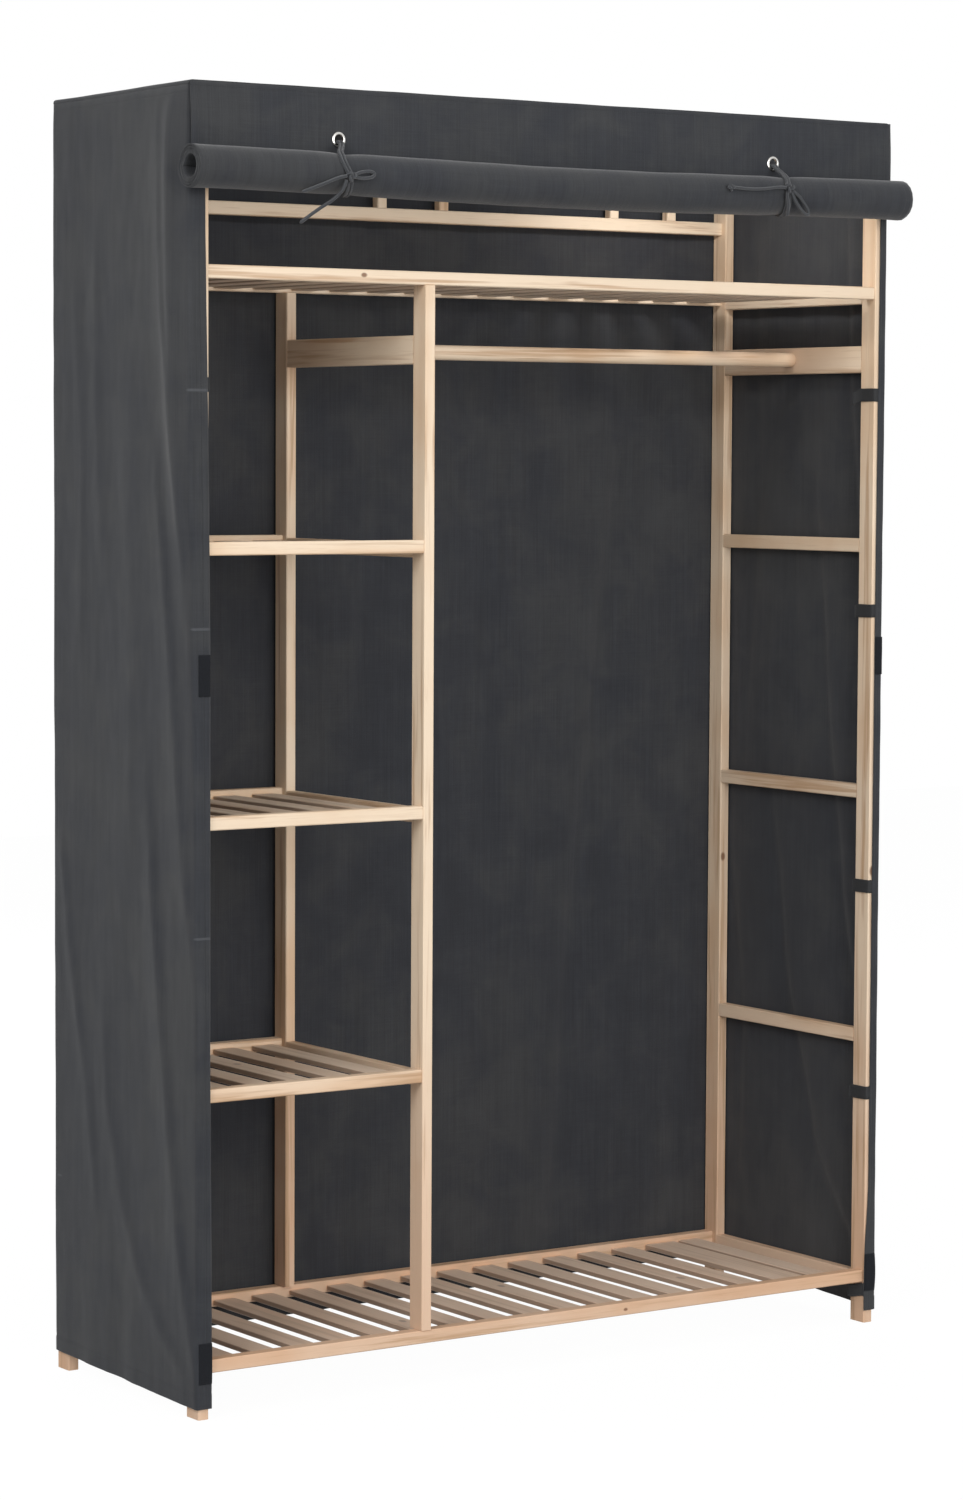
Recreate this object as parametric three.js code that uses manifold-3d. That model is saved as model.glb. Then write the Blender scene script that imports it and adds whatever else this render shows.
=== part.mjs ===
// A portable fabric wardrobe: a slatted pine frame under a dark cloth cover with its front curtain rolled up.
// Millimetres, +Z up, X to the right and Y towards the back.
// The origin is on the floor, at the middle of the whole.
import * as THREE from 'three';
import { mergeVertices } from 'three/addons/utils/BufferGeometryUtils.js';
import Module from 'manifold-3d';

const wasm = await Module();
wasm.setup();

// Driving sizes of the frame
const frameWidth = 1100;
const frameDepth = 370;
const frameHeight = 1676;
const joinGap = 0.3;
const edgeChamfer = 1.2;

// Posts: four at the corners, two between the shelves and the hanging space
const postWidth = 15;
const postDepth = 30;
const shelfBayWidth = 323;

// Rails run left to right at the front and the back, rungs run front to back between two posts
const railHeight = 17;
const railDepth = 18;
const railSetback = 2;
const rungHeight = 19;
const rungDrop = 4;
const baseRailTop = 75;
const hatRailDrop = 223;
const smallShelfCount = 3;

// Slats lie between a front and a back rail, housed a little way into both. The base's last slat but one is wider.
const slatWidth = 34;
const baseWideSlat = 52;
const slatThickness = 7;
const slatPitch = 61;
const slatDrop = 7;
const slatHousing = 5;
const firstSlatGap = 30;
const lastSlatClearance = 3;

// The hanging rod between its two boards
const rodDiameter = 20;
const rodSides = 24;
const rodBoardHeight = 37;
const rodBoardDrop = 81;
const rodDrop = 7;

// The low fence at the back of the top space
const fenceRailDrop = 120;
const fenceRailHeight = 18;
const stickWidth = 15;
const stickDepth = 14;
const stickPairSpan = 102;
const stickPairSpacingShare = 0.369;

// The cloth cover
const clothThickness = 1.6;
const coverGap = 1.8;
const coverLift = 0.4;
const coverSag = 4;
const foldDepth = 7;
const backFoldDepth = 5;
const foldFadeShare = 0.125;
const hemFrontLeft = 13;
const hemBackLeft = 24;
const hemFrontRight = 14;
const hemBackRight = 36;
const leftFlapTop = 10;
const leftFlapBottom = 15;
const rightFlapTop = 6;
const rightFlapBottom = 8;
const flapTaperShare = 0.33;

// Fastening straps round the front posts: three in shares of the step from shelf to shelf and one under the
// rod board. The touch-and-close patches are on the flaps.
const strapHeight = 18;
const strapThickness = 1;
const strapStepShares = [0.731, 1.577, 2.697];
const topStrapClearance = 22;
const patchHeight = 52;
const patchThickness = 1;
const patchInset = 0.5;
const patchHeightShares = [0.043, 0.562];

// The front curtain, rolled up on the outside and tied at two eyelets
const rollRadius = 27.5;
const rollDrop = 105;
const rollOverhang = 16;
const rollSag = 5.5;
const rollTurns = 3;
const rollPitch = 4.6;
const rollSteps = 14;
const curtainStations = 13;
const eyeletSpreadShare = 0.633;
const eyeletRise = 43;
const eyeletHole = 6.4;
const eyeletWall = 0.8;
const eyeletRim = 10.5;
const eyeletRimThickness = 1;

// The ties: each runs from its knot through the eyelet, down behind the curtain and up round the roll.
// Knots are measured along from the eyelet and up from the roll's middle, bow tips and free ends from the knot.
const cordDiameter = 4.4;
const cordSides = 8;
const cordGap = 0.5;
const cordStep = 9;
const knotWidth = 7;
const knotDepth = 4.5;
const knotHeight = 6;
const knotSides = 12;
const knotRings = 8;
const leftKnot = [-18, -5];
const rightKnot = [-16.5, 9];
const bowHeight = 10;
const leftBowTip = [38, 5];
const rightBowTip = [31, -33];
const bowShares = [[0, 0], [0.5, 1.2], [0.95, 0.9], [0.95, -0.9], [0.5, -1.2], [0, 0]];

// The loop's way round the roll: degrees up from the roll's front, and the share of the way from the knot
// to the eyelet. At the eyelet it bends in shares of the cord's diameter.
const loopUp = [[25, 0.3], [50, 0.6], [72, 0.85]];
const loopBack = [[-115, 0.9], [-90, 0.6], [-60, 0.4], [-30, 0.2], [-12, 0.1]];
const bendFrontShare = 1.6;
const bendSagShare = 0.4;
const bendBackShare = 1.2;

// Free ends: points chosen by hand from the knot's middle, X along the wardrobe, Y away from the roll, Z up
const longEndLeft = [
  [-7.4, 0.5, -4.6], [-9, 0, -10.5], [-11.5, -2.5, -18], [-16, -5.5, -24], [-22, -8, -29.5], [-29, -10.5, -34.5],
  [-36.5, -12.5, -39.5], [-44, -13.5, -44.5], [-51.5, -14, -49.5], [-59, -14, -54.5], [-66.5, -14, -59.5],
];
const shortEndLeft = [
  [-7.6, 1, 0], [-12, 1, -0.6], [-18, 0.9, -2.2], [-25, 0.6, -4.6], [-32, 0.1, -7.4], [-39, -0.7, -10.2],
  [-46, -1.8, -13], [-53, -3.2, -15.8], [-60, -4.9, -18.6], [-68, -7, -21.6],
];
const longEndRight = [
  [-5, 1.5, -6.3], [-5, 1.4, -9], [-4.2, 1, -13], [-3, 0.4, -17], [-1.6, -0.6, -21], [-0.4, -2, -25],
  [0.8, -4, -29], [2, -6.5, -33], [3, -9, -37],
];
const shortEndRight = [
  [-7.6, 1, 0], [-12, 1, 0.3], [-18, 0.8, 0.2], [-25, 0.5, -0.4], [-39, 0.1, -2.4], [-53, 0.1, -3.6],
  [-67, 0.2, -4], [-81, 0.2, -3.6], [-94, 0.2, -3], [-105, 0.2, -3],
];

// How far cuts run past the piece that they cut
const cutOverrun = 5;

// Places that follow from the sizes above
const halfWidth = frameWidth / 2;
const halfDepth = frameDepth / 2;
const innerHalfWidth = halfWidth - postWidth;
const innerHalfDepth = halfDepth - postDepth;
const middlePostLeft = -innerHalfWidth + shelfBayWidth;
const middlePostRight = middlePostLeft + postWidth;
const hatRailTop = frameHeight - hatRailDrop;
const shelfStep = (hatRailTop - baseRailTop) / (smallShelfCount + 1);
const rodBoardTop = hatRailTop - rodBoardDrop;
const fenceRailTop = frameHeight - fenceRailDrop;
const stickPairSpacing = 2 * innerHalfWidth * stickPairSpacingShare;
const coverHalfWidth = halfWidth + coverGap + clothThickness;
const coverHalfDepth = halfDepth + coverGap + clothThickness;
const coverTop = frameHeight + coverLift + clothThickness;
const rollHeight = frameHeight - rollDrop;
const eyeletHeight = rollHeight + eyeletRise;
const eyeletSpread = halfWidth * eyeletSpreadShare;
const curtainBack = -coverHalfDepth - joinGap;
const curtainMiddle = curtainBack - clothThickness / 2;
const rollLineRadius = rollRadius - clothThickness / 2;
const rollCentre = curtainMiddle - rollLineRadius;
const knotCentre = rollCentre - rollRadius - cordGap - knotDepth;
const frontReach = knotDepth - knotCentre;
const backReach = coverHalfDepth + backFoldDepth;

// Finishes
const pine = new THREE.MeshStandardMaterial({ color: 0xdcc29c, roughness: 0.65, metalness: 0 });
const cover = new THREE.MeshStandardMaterial({ color: 0x46484b, roughness: 0.95, metalness: 0 });
const webbing = new THREE.MeshStandardMaterial({ color: 0x1c1d1f, roughness: 0.85, metalness: 0 });
const steel = new THREE.MeshStandardMaterial({ color: 0xc9cbcc, roughness: 0.25, metalness: 1 });
const cordFinish = new THREE.MeshStandardMaterial({ color: 0x33363a, roughness: 0.9, metalness: 0 });

const wardrobe = new THREE.Group();
wardrobe.position.y = (frontReach - backReach) / 2;

function add(name, geometry, material) {
  const mesh = new THREE.Mesh(geometry, material);
  mesh.name = name;
  wardrobe.add(mesh);
  return mesh;
}

// Closed meshes to solids and back, for cuts and joins

function toSolid(geometry) {
  const bare = geometry.clone();
  bare.deleteAttribute('normal');
  bare.deleteAttribute('uv');
  const merged = mergeVertices(bare);
  const vertProperties = new Float32Array(merged.attributes.position.array);
  const triVerts = new Uint32Array(merged.index.array);
  return new wasm.Manifold(new wasm.Mesh({ numProp: 3, vertProperties, triVerts }));
}

function toGeometry(solid) {
  const { vertProperties, triVerts } = solid.getMesh();
  const geometry = new THREE.BufferGeometry();
  geometry.setAttribute('position', new THREE.BufferAttribute(vertProperties, 3));
  geometry.setIndex(new THREE.BufferAttribute(triVerts, 1));
  return geometry;
}

function join(geometries) {
  const solids = geometries.map(toSolid);
  return toGeometry(solids.reduce((whole, piece) => whole.add(piece)));
}

// A timber between two corners, its four long edges chamfered

const turns = {
  x: new THREE.Matrix4().makeBasis(
    new THREE.Vector3(0, 1, 0), new THREE.Vector3(0, 0, 1), new THREE.Vector3(1, 0, 0)),
  y: new THREE.Matrix4().makeBasis(
    new THREE.Vector3(0, 0, 1), new THREE.Vector3(1, 0, 0), new THREE.Vector3(0, 1, 0)),
  z: new THREE.Matrix4(),
};

function timber(along, low, high) {
  const start = new THREE.Vector3(...low);
  const size = new THREE.Vector3(...high).sub(start);
  const [across, up] = { x: ['y', 'z'], y: ['z', 'x'], z: ['x', 'y'] }[along];
  const width = size[across];
  const height = size[up];
  const c = edgeChamfer;
  const outline = new THREE.Shape([
    new THREE.Vector2(c, 0), new THREE.Vector2(width - c, 0),
    new THREE.Vector2(width, c), new THREE.Vector2(width, height - c),
    new THREE.Vector2(width - c, height), new THREE.Vector2(c, height),
    new THREE.Vector2(0, height - c), new THREE.Vector2(0, c),
  ]);
  const geometry = new THREE.ExtrudeGeometry(outline, { depth: size[along], bevelEnabled: false });
  geometry.applyMatrix4(turns[along]);
  geometry.translate(start.x, start.y, start.z);
  return geometry;
}

// Posts

function posts() {
  for (const [side, x] of [['left', -halfWidth], ['right', innerHalfWidth]]) {
    const end = x + postWidth;
    add(`post_front_${side}`, timber('z', [x, -halfDepth, 0], [end, -innerHalfDepth, frameHeight]), pine);
    add(`post_back_${side}`, timber('z', [x, innerHalfDepth, 0], [end, halfDepth, frameHeight]), pine);
  }
  const foot = baseRailTop + joinGap;
  const head = hatRailTop - railHeight - joinGap;
  const left = middlePostLeft;
  const right = middlePostRight;
  add('post_front_middle', timber('z', [left, -halfDepth, foot], [right, -innerHalfDepth, head]), pine);
  add('post_back_middle', timber('z', [left, innerHalfDepth, foot], [right, halfDepth, head]), pine);
}

// Rails and the slatted decks

const railFront = -halfDepth + railSetback;

function rail(left, right, top, height, back) {
  const low = back ? -railFront - railDepth : railFront;
  return timber('x', [left, low, top - height], [right, low + railDepth, top]);
}

function deck(name, left, right, top, lastButOne = slatWidth) {
  const slatStart = railFront + railDepth - slatHousing;
  const slatTop = top - slatDrop;
  const pieces = [rail(left, right, top, railHeight, false), rail(left, right, top, railHeight, true)];
  const lastStart = right - lastSlatClearance - slatWidth;
  for (let x = -innerHalfWidth + firstSlatGap; x <= lastStart; x += slatPitch) {
    const end = x <= lastStart - slatPitch && x > lastStart - 2 * slatPitch ? x + lastButOne : x + slatWidth;
    pieces.push(timber('y', [x, slatStart, slatTop - slatThickness], [end, -slatStart, slatTop]));
  }
  add(name, join(pieces), pine);
}

function decks() {
  const left = -innerHalfWidth + joinGap;
  const right = innerHalfWidth - joinGap;
  deck('base_deck', left, right, baseRailTop, baseWideSlat);
  const names = ['lower_shelf', 'middle_shelf', 'upper_shelf'];
  for (let level = 1; level <= smallShelfCount; level += 1) {
    deck(names[level - 1], left, middlePostLeft - joinGap, baseRailTop + level * shelfStep);
  }
  deck('hat_shelf', left, right, hatRailTop);
  add('top_rail_front', rail(left, right, frameHeight, railHeight, false), pine);
  add('top_rail_back', rail(left, right, frameHeight, railHeight, true), pine);
}

// Rungs of the three ladders, and the two boards that carry the rod

function rung(name, left, top, height) {
  const start = -innerHalfDepth + joinGap;
  add(name, timber('y', [left, start, top - height], [left + postWidth, -start, top]), pine);
}

function ladders() {
  const levels = ['base', 'lower', 'middle', 'upper', 'hat'];
  for (const [level, name] of levels.entries()) {
    const top = baseRailTop + level * shelfStep - rungDrop;
    rung(`rung_left_${name}`, -halfWidth, top, rungHeight);
    rung(`rung_right_${name}`, innerHalfWidth, top, rungHeight);
    if (level > 0 && level <= smallShelfCount) {
      rung(`rung_middle_${name}`, middlePostLeft, top, rungHeight);
    }
  }
  rung('rung_left_top', -halfWidth, frameHeight, rungHeight);
  rung('rung_right_top', innerHalfWidth, frameHeight, rungHeight);
  rung('rod_board_middle', middlePostLeft, rodBoardTop, rodBoardHeight);
  rung('rod_board_right', innerHalfWidth, rodBoardTop, rodBoardHeight);
}

function hangingRod() {
  const length = innerHalfWidth - middlePostRight - 2 * joinGap;
  const geometry = new THREE.CylinderGeometry(rodDiameter / 2, rodDiameter / 2, length, rodSides);
  geometry.rotateZ(-Math.PI / 2);
  geometry.translate(middlePostRight + joinGap + length / 2, 0, rodBoardTop - rodDrop - rodDiameter / 2);
  add('hanging_rod', geometry, pine);
}

function backFence() {
  const railEnd = innerHalfWidth - joinGap;
  add('fence_rail', rail(-railEnd, railEnd, fenceRailTop, fenceRailHeight, true), pine);
  const front = halfDepth - railSetback - (railDepth + stickDepth) / 2;
  const foot = fenceRailTop + joinGap;
  const head = frameHeight - railHeight - joinGap;
  let number = 1;
  for (const pair of [-1, 0, 1]) {
    for (const hand of [-1, 1]) {
      const left = pair * stickPairSpacing + (hand * stickPairSpan - stickWidth) / 2;
      const stick = timber('z', [left, front, foot], [left + stickWidth, front + stickDepth, head]);
      add(`fence_stick_${number}`, stick, pine);
      number += 1;
    }
  }
}

// Cloth: a sheet between an outer and an inner skin, both given on the same grid of points

function volumeOf(geometry) {
  const p = geometry.attributes.position;
  const corners = geometry.index.array;
  const [a, b, c] = [new THREE.Vector3(), new THREE.Vector3(), new THREE.Vector3()];
  let sum = 0;
  for (let i = 0; i < corners.length; i += 3) {
    a.fromBufferAttribute(p, corners[i]);
    b.fromBufferAttribute(p, corners[i + 1]);
    c.fromBufferAttribute(p, corners[i + 2]);
    sum += a.dot(b.cross(c)) / 6;
  }
  return sum;
}

function facingOut(geometry) {
  if (volumeOf(geometry) < 0) {
    geometry.index.array.reverse();
  }
  return geometry;
}

function sheet(columns, rows, place) {
  const points = [];
  const faces = [];
  for (const skin of ['outer', 'inner']) {
    for (let j = 0; j < rows; j += 1) {
      for (let i = 0; i < columns; i += 1) {
        points.push(...place(i, j)[skin]);
      }
    }
  }
  const count = columns * rows;
  const at = (i, j, inner) => (inner ? count : 0) + j * columns + i;
  const quad = (a, b, c, d) => faces.push(a, b, c, a, c, d);
  for (let j = 0; j < rows - 1; j += 1) {
    for (let i = 0; i < columns - 1; i += 1) {
      quad(at(i, j), at(i + 1, j), at(i + 1, j + 1), at(i, j + 1));
      quad(at(i, j, true), at(i, j + 1, true), at(i + 1, j + 1, true), at(i + 1, j, true));
    }
  }
  for (let i = 0; i < columns - 1; i += 1) {
    quad(at(i + 1, 0), at(i, 0), at(i, 0, true), at(i + 1, 0, true));
    quad(at(i, rows - 1), at(i + 1, rows - 1), at(i + 1, rows - 1, true), at(i, rows - 1, true));
  }
  for (let j = 0; j < rows - 1; j += 1) {
    quad(at(0, j), at(0, j + 1), at(0, j + 1, true), at(0, j, true));
    quad(at(columns - 1, j + 1), at(columns - 1, j), at(columns - 1, j, true), at(columns - 1, j + 1, true));
  }
  const geometry = new THREE.BufferGeometry();
  geometry.setAttribute('position', new THREE.Float32BufferAttribute(points, 3));
  geometry.setIndex(new THREE.BufferAttribute(new Uint32Array(faces), 1));
  return facingOut(geometry);
}

// Folds are soft ridges: each has its middle line, from top to bottom, as shares of the panel, a width share
// and a strength share

const sideFoldShares = [
  { top: 0.86, bottom: 0.97, width: 0.05, strength: 0.8 },
  { top: 0.62, bottom: 0.90, width: 0.07, strength: 0.6 },
  { top: 0.30, bottom: 0.72, width: 0.09, strength: 0.7 },
  { top: 0.10, bottom: 0.35, width: 0.10, strength: 0.6 },
];

const backFoldShares = [
  { top: 0.10, bottom: 0.07, width: 0.035, strength: 0.8 },
  { top: 0.27, bottom: 0.30, width: 0.045, strength: 0.6 },
  { top: 0.46, bottom: 0.42, width: 0.04, strength: 0.9 },
  { top: 0.60, bottom: 0.66, width: 0.045, strength: 0.7 },
  { top: 0.78, bottom: 0.74, width: 0.035, strength: 0.8 },
  { top: 0.92, bottom: 0.94, width: 0.035, strength: 0.6 },
];

function foldAt(folds, across, down) {
  const held = Math.min(across, 1 - across, down) / foldFadeShare;
  const free = Math.min(1, Math.max(0, held));
  let height = 0;
  for (const fold of folds) {
    const middle = fold.top + (fold.bottom - fold.top) * down;
    const away = (across - middle) / fold.width;
    height = Math.max(height, fold.strength * Math.exp(-away * away));
  }
  return height * free;
}

const panelTop = frameHeight + coverLift - joinGap;

function patch(side, low, flap) {
  const front = -coverHalfDepth - patchThickness;
  const outer = side * (coverHalfWidth - patchInset);
  const inner = side * (halfWidth - flap + patchInset);
  const left = Math.min(outer, inner);
  const right = Math.max(outer, inner);
  const depth = patchThickness + clothThickness / 2;
  const geometry = new THREE.BoxGeometry(right - left, depth, patchHeight);
  geometry.translate((left + right) / 2, front + depth / 2, low + patchHeight / 2);
  return geometry;
}

function sidePanel(name, side, hemFront, hemBack, flapTop, flapBottom) {
  const sideColumns = 15;
  const rows = 17;
  const back = halfDepth + coverGap - joinGap;
  const flapAt = (down) => flapTop + (flapBottom - flapTop) * Math.min(1, down / flapTaperShare);
  const place = (i, j) => {
    const down = 1 - j / (rows - 1);
    if (i > sideColumns) {
      const z = hemFront + (panelTop - hemFront) * (1 - down);
      const x = side * (halfWidth - flapAt(down));
      return { outer: [x, -coverHalfDepth, z], inner: [x, -coverHalfDepth + clothThickness, z] };
    }
    const across = i / sideColumns;
    const y = back + (-coverHalfDepth - back) * across;
    const hem = hemBack + (hemFront - hemBack) * across;
    const z = hem + (panelTop - hem) * (1 - down);
    const fold = foldDepth * foldAt(sideFoldShares, across, down);
    const x = coverHalfWidth + fold;
    const innerY = i === sideColumns ? y + clothThickness : y;
    return { outer: [side * x, y, z], inner: [side * (x - clothThickness), innerY, z] };
  };
  const cloth = sheet(sideColumns + 2, rows, place);
  const patches = patchHeightShares.map((share) => patch(side, share * frameHeight - patchHeight / 2, flapBottom));
  add(name, join([cloth, ...patches]), cover);
}

function backPanel() {
  const columns = 41;
  const rows = 11;
  const place = (i, j) => {
    const across = i / (columns - 1);
    const down = 1 - j / (rows - 1);
    const x = coverHalfWidth * (2 * across - 1);
    const hem = hemBackLeft + (hemBackRight - hemBackLeft) * across;
    const z = hem + (panelTop - hem) * (1 - down);
    const y = coverHalfDepth + backFoldDepth * foldAt(backFoldShares, across, down);
    return { outer: [x, y, z], inner: [x, y - clothThickness, z] };
  };
  add('back_panel', sheet(columns, rows, place), cover);
}

function restingLine(index, count, inner, outer) {
  if (index === 0 || index === count - 1) {
    return index === 0 ? -outer : outer;
  }
  return inner * (2 * (index - 1) / (count - 3) - 1);
}

function topPanel() {
  const columns = 13;
  const rows = 9;
  const railInside = -railFront - railDepth;
  const place = (i, j) => {
    const x = restingLine(i, columns, innerHalfWidth, coverHalfWidth);
    const y = restingLine(j, rows, railInside, coverHalfDepth);
    const hollowX = Math.max(0, 1 - (x / innerHalfWidth) ** 2);
    const hollowY = Math.max(0, 1 - (y / railInside) ** 2);
    const z = coverTop - coverSag * hollowX * hollowY;
    return { outer: [x, y, z], inner: [x, y, z - clothThickness] };
  };
  add('top_panel', sheet(columns, rows, place), cover);
}

// The curtain hangs from the front edge of the top and winds up on the outside of itself

function curtainSection() {
  const line = [];
  const drop = coverTop - rollHeight;
  const straightSteps = 3;
  for (let k = 0; k < straightSteps; k += 1) {
    const share = k / straightSteps;
    line.push({ y: curtainMiddle, z: coverTop - drop * share, normal: [1, 0], share: share ** 2 });
  }
  const steps = rollTurns * rollSteps;
  for (let k = 0; k <= steps; k += 1) {
    const angle = 2 * Math.PI * rollTurns * (k / steps);
    const radius = rollLineRadius - rollPitch * rollTurns * (k / steps);
    const normal = [Math.cos(angle), -Math.sin(angle)];
    const y = rollCentre + radius * normal[0];
    const z = rollHeight + radius * normal[1];
    line.push({ y, z, normal, share: 1 });
  }
  return line;
}

function rollDip(station) {
  return rollSag * Math.cos(Math.PI * station / 2) ** 2;
}

function frontCurtain() {
  const line = curtainSection();
  const place = (i, j) => {
    const station = 2 * (j / (curtainStations - 1)) - 1;
    const { y, z, normal, share } = line[i];
    const x = station * (coverHalfWidth + rollOverhang * share);
    const dip = share * rollDip(station);
    const half = clothThickness / 2;
    return {
      outer: [x, y + half * normal[0], z + half * normal[1] - dip],
      inner: [x, y - half * normal[0], z - half * normal[1] - dip],
    };
  };
  let cloth = toSolid(sheet(line.length, curtainStations, place));
  for (const side of [-1, 1]) {
    const radius = eyeletHole + eyeletWall + joinGap;
    const hole = new THREE.CylinderGeometry(radius, radius, clothThickness + 2 * cutOverrun, rodSides);
    hole.translate(side * eyeletSpread, curtainMiddle, eyeletHeight);
    cloth = cloth.subtract(toSolid(hole));
  }
  add('front_curtain', toGeometry(cloth), cover);
}

function eyelet(name, side) {
  const front = clothThickness / 2 + joinGap;
  const face = front + eyeletRimThickness;
  const barrel = eyeletHole + eyeletWall;
  const profile = [
    new THREE.Vector2(eyeletHole, -face), new THREE.Vector2(eyeletRim, -face),
    new THREE.Vector2(eyeletRim, -front), new THREE.Vector2(barrel, -front),
    new THREE.Vector2(barrel, front), new THREE.Vector2(eyeletRim, front),
    new THREE.Vector2(eyeletRim, face), new THREE.Vector2(eyeletHole, face),
    new THREE.Vector2(eyeletHole, -face),
  ];
  const geometry = new THREE.LatheGeometry(profile, rodSides);
  geometry.translate(side * eyeletSpread, curtainMiddle, eyeletHeight);
  add(name, geometry, steel);
}

// Cords: a round section drawn along a smooth curve

function cordAlong(points) {
  const radius = cordDiameter / 2;
  const outline = new THREE.Shape();
  for (let k = 0; k < cordSides; k += 1) {
    const angle = 2 * Math.PI * k / cordSides;
    const point = [radius * Math.cos(angle), radius * Math.sin(angle)];
    if (k === 0) {
      outline.moveTo(...point);
    } else {
      outline.lineTo(...point);
    }
  }
  const curve = new THREE.CatmullRomCurve3(points.map((p) => new THREE.Vector3(...p)), false, 'centripetal');
  const steps = Math.ceil(curve.getLength() / cordStep);
  return new THREE.ExtrudeGeometry(outline, { steps, extrudePath: curve, bevelEnabled: false });
}

function tieLoop(eyeletX, knotX, low, knotLevel) {
  const reach = rollRadius + cordDiameter / 2 + cordGap;
  const round = (degrees, share) => {
    const angle = degrees * Math.PI / 180;
    const x = knotX + (eyeletX - knotX) * share;
    return [x, rollCentre - reach * Math.cos(angle), low + reach * Math.sin(angle)];
  };
  const behind = curtainBack + cordDiameter / 2 + 2 * eyeletRimThickness + joinGap;
  const bendFront = curtainMiddle - bendFrontShare * cordDiameter;
  const inHole = eyeletHeight - (eyeletHole - cordDiameter / 2 - 2 * cordGap);
  const route = [
    [knotX, knotCentre, knotLevel],
    ...loopUp.map(([degrees, share]) => round(degrees, share)),
    [eyeletX, bendFront, inHole - bendSagShare * cordDiameter],
    [eyeletX, curtainMiddle, inHole],
    [eyeletX, behind, eyeletHeight - bendBackShare * cordDiameter],
    [eyeletX, behind, low + rollRadius / 2],
    [eyeletX, behind, low - rollRadius / 2],
    ...loopBack.map(([degrees, share]) => round(degrees, share)),
    [knotX, knotCentre, knotLevel],
  ];
  return cordAlong(route);
}

function bowLoop(knotX, knotLevel, [tipX, tipZ]) {
  const length = Math.hypot(tipX, tipZ);
  const half = bowHeight / 2 / length;
  const route = bowShares.map(([along, across]) => [
    knotX + tipX * along - tipZ * across * half,
    knotCentre,
    knotLevel + tipZ * along + tipX * across * half,
  ]);
  return cordAlong(route);
}

function tie(side, eyeletX, [knotShift, knotRise], bowTip, ends) {
  const knotX = eyeletX + knotShift;
  const low = rollHeight - rollDip(knotX / (coverHalfWidth + rollOverhang));
  const knotLevel = low + knotRise;
  const knot = new THREE.SphereGeometry(1, knotSides, knotRings);
  knot.scale(knotWidth, knotDepth, knotHeight);
  knot.translate(knotX, knotCentre, knotLevel);
  const loop = tieLoop(eyeletX, knotX, low, knotLevel);
  const bow = bowLoop(knotX, knotLevel, bowTip);
  add(`tie_${side}`, join([knot, loop, bow]), cordFinish);
  for (const [name, points] of Object.entries(ends)) {
    const route = points.map(([x, y, z]) => [knotX + x, knotCentre - y, knotLevel + z]);
    add(`tie_${name}_end_${side}`, cordAlong(route), cordFinish);
  }
}

// Straps round the front posts

function strap(name, left, middleHeight) {
  const low = middleHeight - strapHeight / 2;
  const box = (grow) => [
    [left - grow, -halfDepth - grow], [left + postWidth + grow, -halfDepth - grow],
    [left + postWidth + grow, -innerHalfDepth + grow], [left - grow, -innerHalfDepth + grow],
  ].map(([x, y]) => new THREE.Vector2(x, y));
  const band = new THREE.Shape(box(joinGap + strapThickness));
  band.holes.push(new THREE.Path(box(joinGap)));
  const geometry = new THREE.ExtrudeGeometry(band, { depth: strapHeight, bevelEnabled: false });
  geometry.translate(0, 0, low);
  add(name, geometry, webbing);
}

function straps() {
  const top = rodBoardTop - rodBoardHeight - topStrapClearance - strapHeight / 2;
  const heights = strapStepShares.map((share) => baseRailTop + share * shelfStep);
  for (const [number, height] of [...heights, top].entries()) {
    strap(`strap_left_${number + 1}`, -halfWidth, height);
    strap(`strap_right_${number + 1}`, innerHalfWidth, height);
  }
}

posts();
decks();
ladders();
hangingRod();
backFence();
sidePanel('side_panel_left', -1, hemFrontLeft, hemBackLeft, leftFlapTop, leftFlapBottom);
sidePanel('side_panel_right', 1, hemFrontRight, hemBackRight, rightFlapTop, rightFlapBottom);
backPanel();
topPanel();
frontCurtain();
eyelet('eyelet_left', -1);
eyelet('eyelet_right', 1);
const leftEnds = { long: longEndLeft, short: shortEndLeft };
const rightEnds = { long: longEndRight, short: shortEndRight };
tie('left', -eyeletSpread, leftKnot, leftBowTip, leftEnds);
tie('right', eyeletSpread, rightKnot, rightBowTip, rightEnds);
straps();

export default wardrobe;
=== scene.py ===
# A portable fabric wardrobe: slatted pine frame, dark cloth cover, front curtain rolled up and tied.
# Everything is in metres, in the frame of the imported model: X right, Y to the back, Z up.
import math

import bmesh
import bpy
from mathutils import Matrix, Vector, noise


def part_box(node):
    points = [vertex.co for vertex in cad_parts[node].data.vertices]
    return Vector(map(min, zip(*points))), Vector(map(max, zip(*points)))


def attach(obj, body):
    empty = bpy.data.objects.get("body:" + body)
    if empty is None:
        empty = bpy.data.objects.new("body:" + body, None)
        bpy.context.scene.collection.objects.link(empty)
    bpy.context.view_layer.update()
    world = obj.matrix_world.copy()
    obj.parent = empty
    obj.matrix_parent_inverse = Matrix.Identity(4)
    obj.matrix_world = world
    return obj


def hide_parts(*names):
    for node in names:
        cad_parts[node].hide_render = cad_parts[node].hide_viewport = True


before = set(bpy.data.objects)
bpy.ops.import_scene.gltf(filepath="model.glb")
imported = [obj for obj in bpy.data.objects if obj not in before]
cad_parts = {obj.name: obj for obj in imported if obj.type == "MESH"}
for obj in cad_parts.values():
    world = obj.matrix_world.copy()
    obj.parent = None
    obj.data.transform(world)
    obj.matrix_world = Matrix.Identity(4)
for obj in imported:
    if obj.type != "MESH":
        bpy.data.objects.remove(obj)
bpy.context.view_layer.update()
scene = bpy.context.scene
scene.view_settings.view_transform = "Standard"
print("frame loaded")

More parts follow.
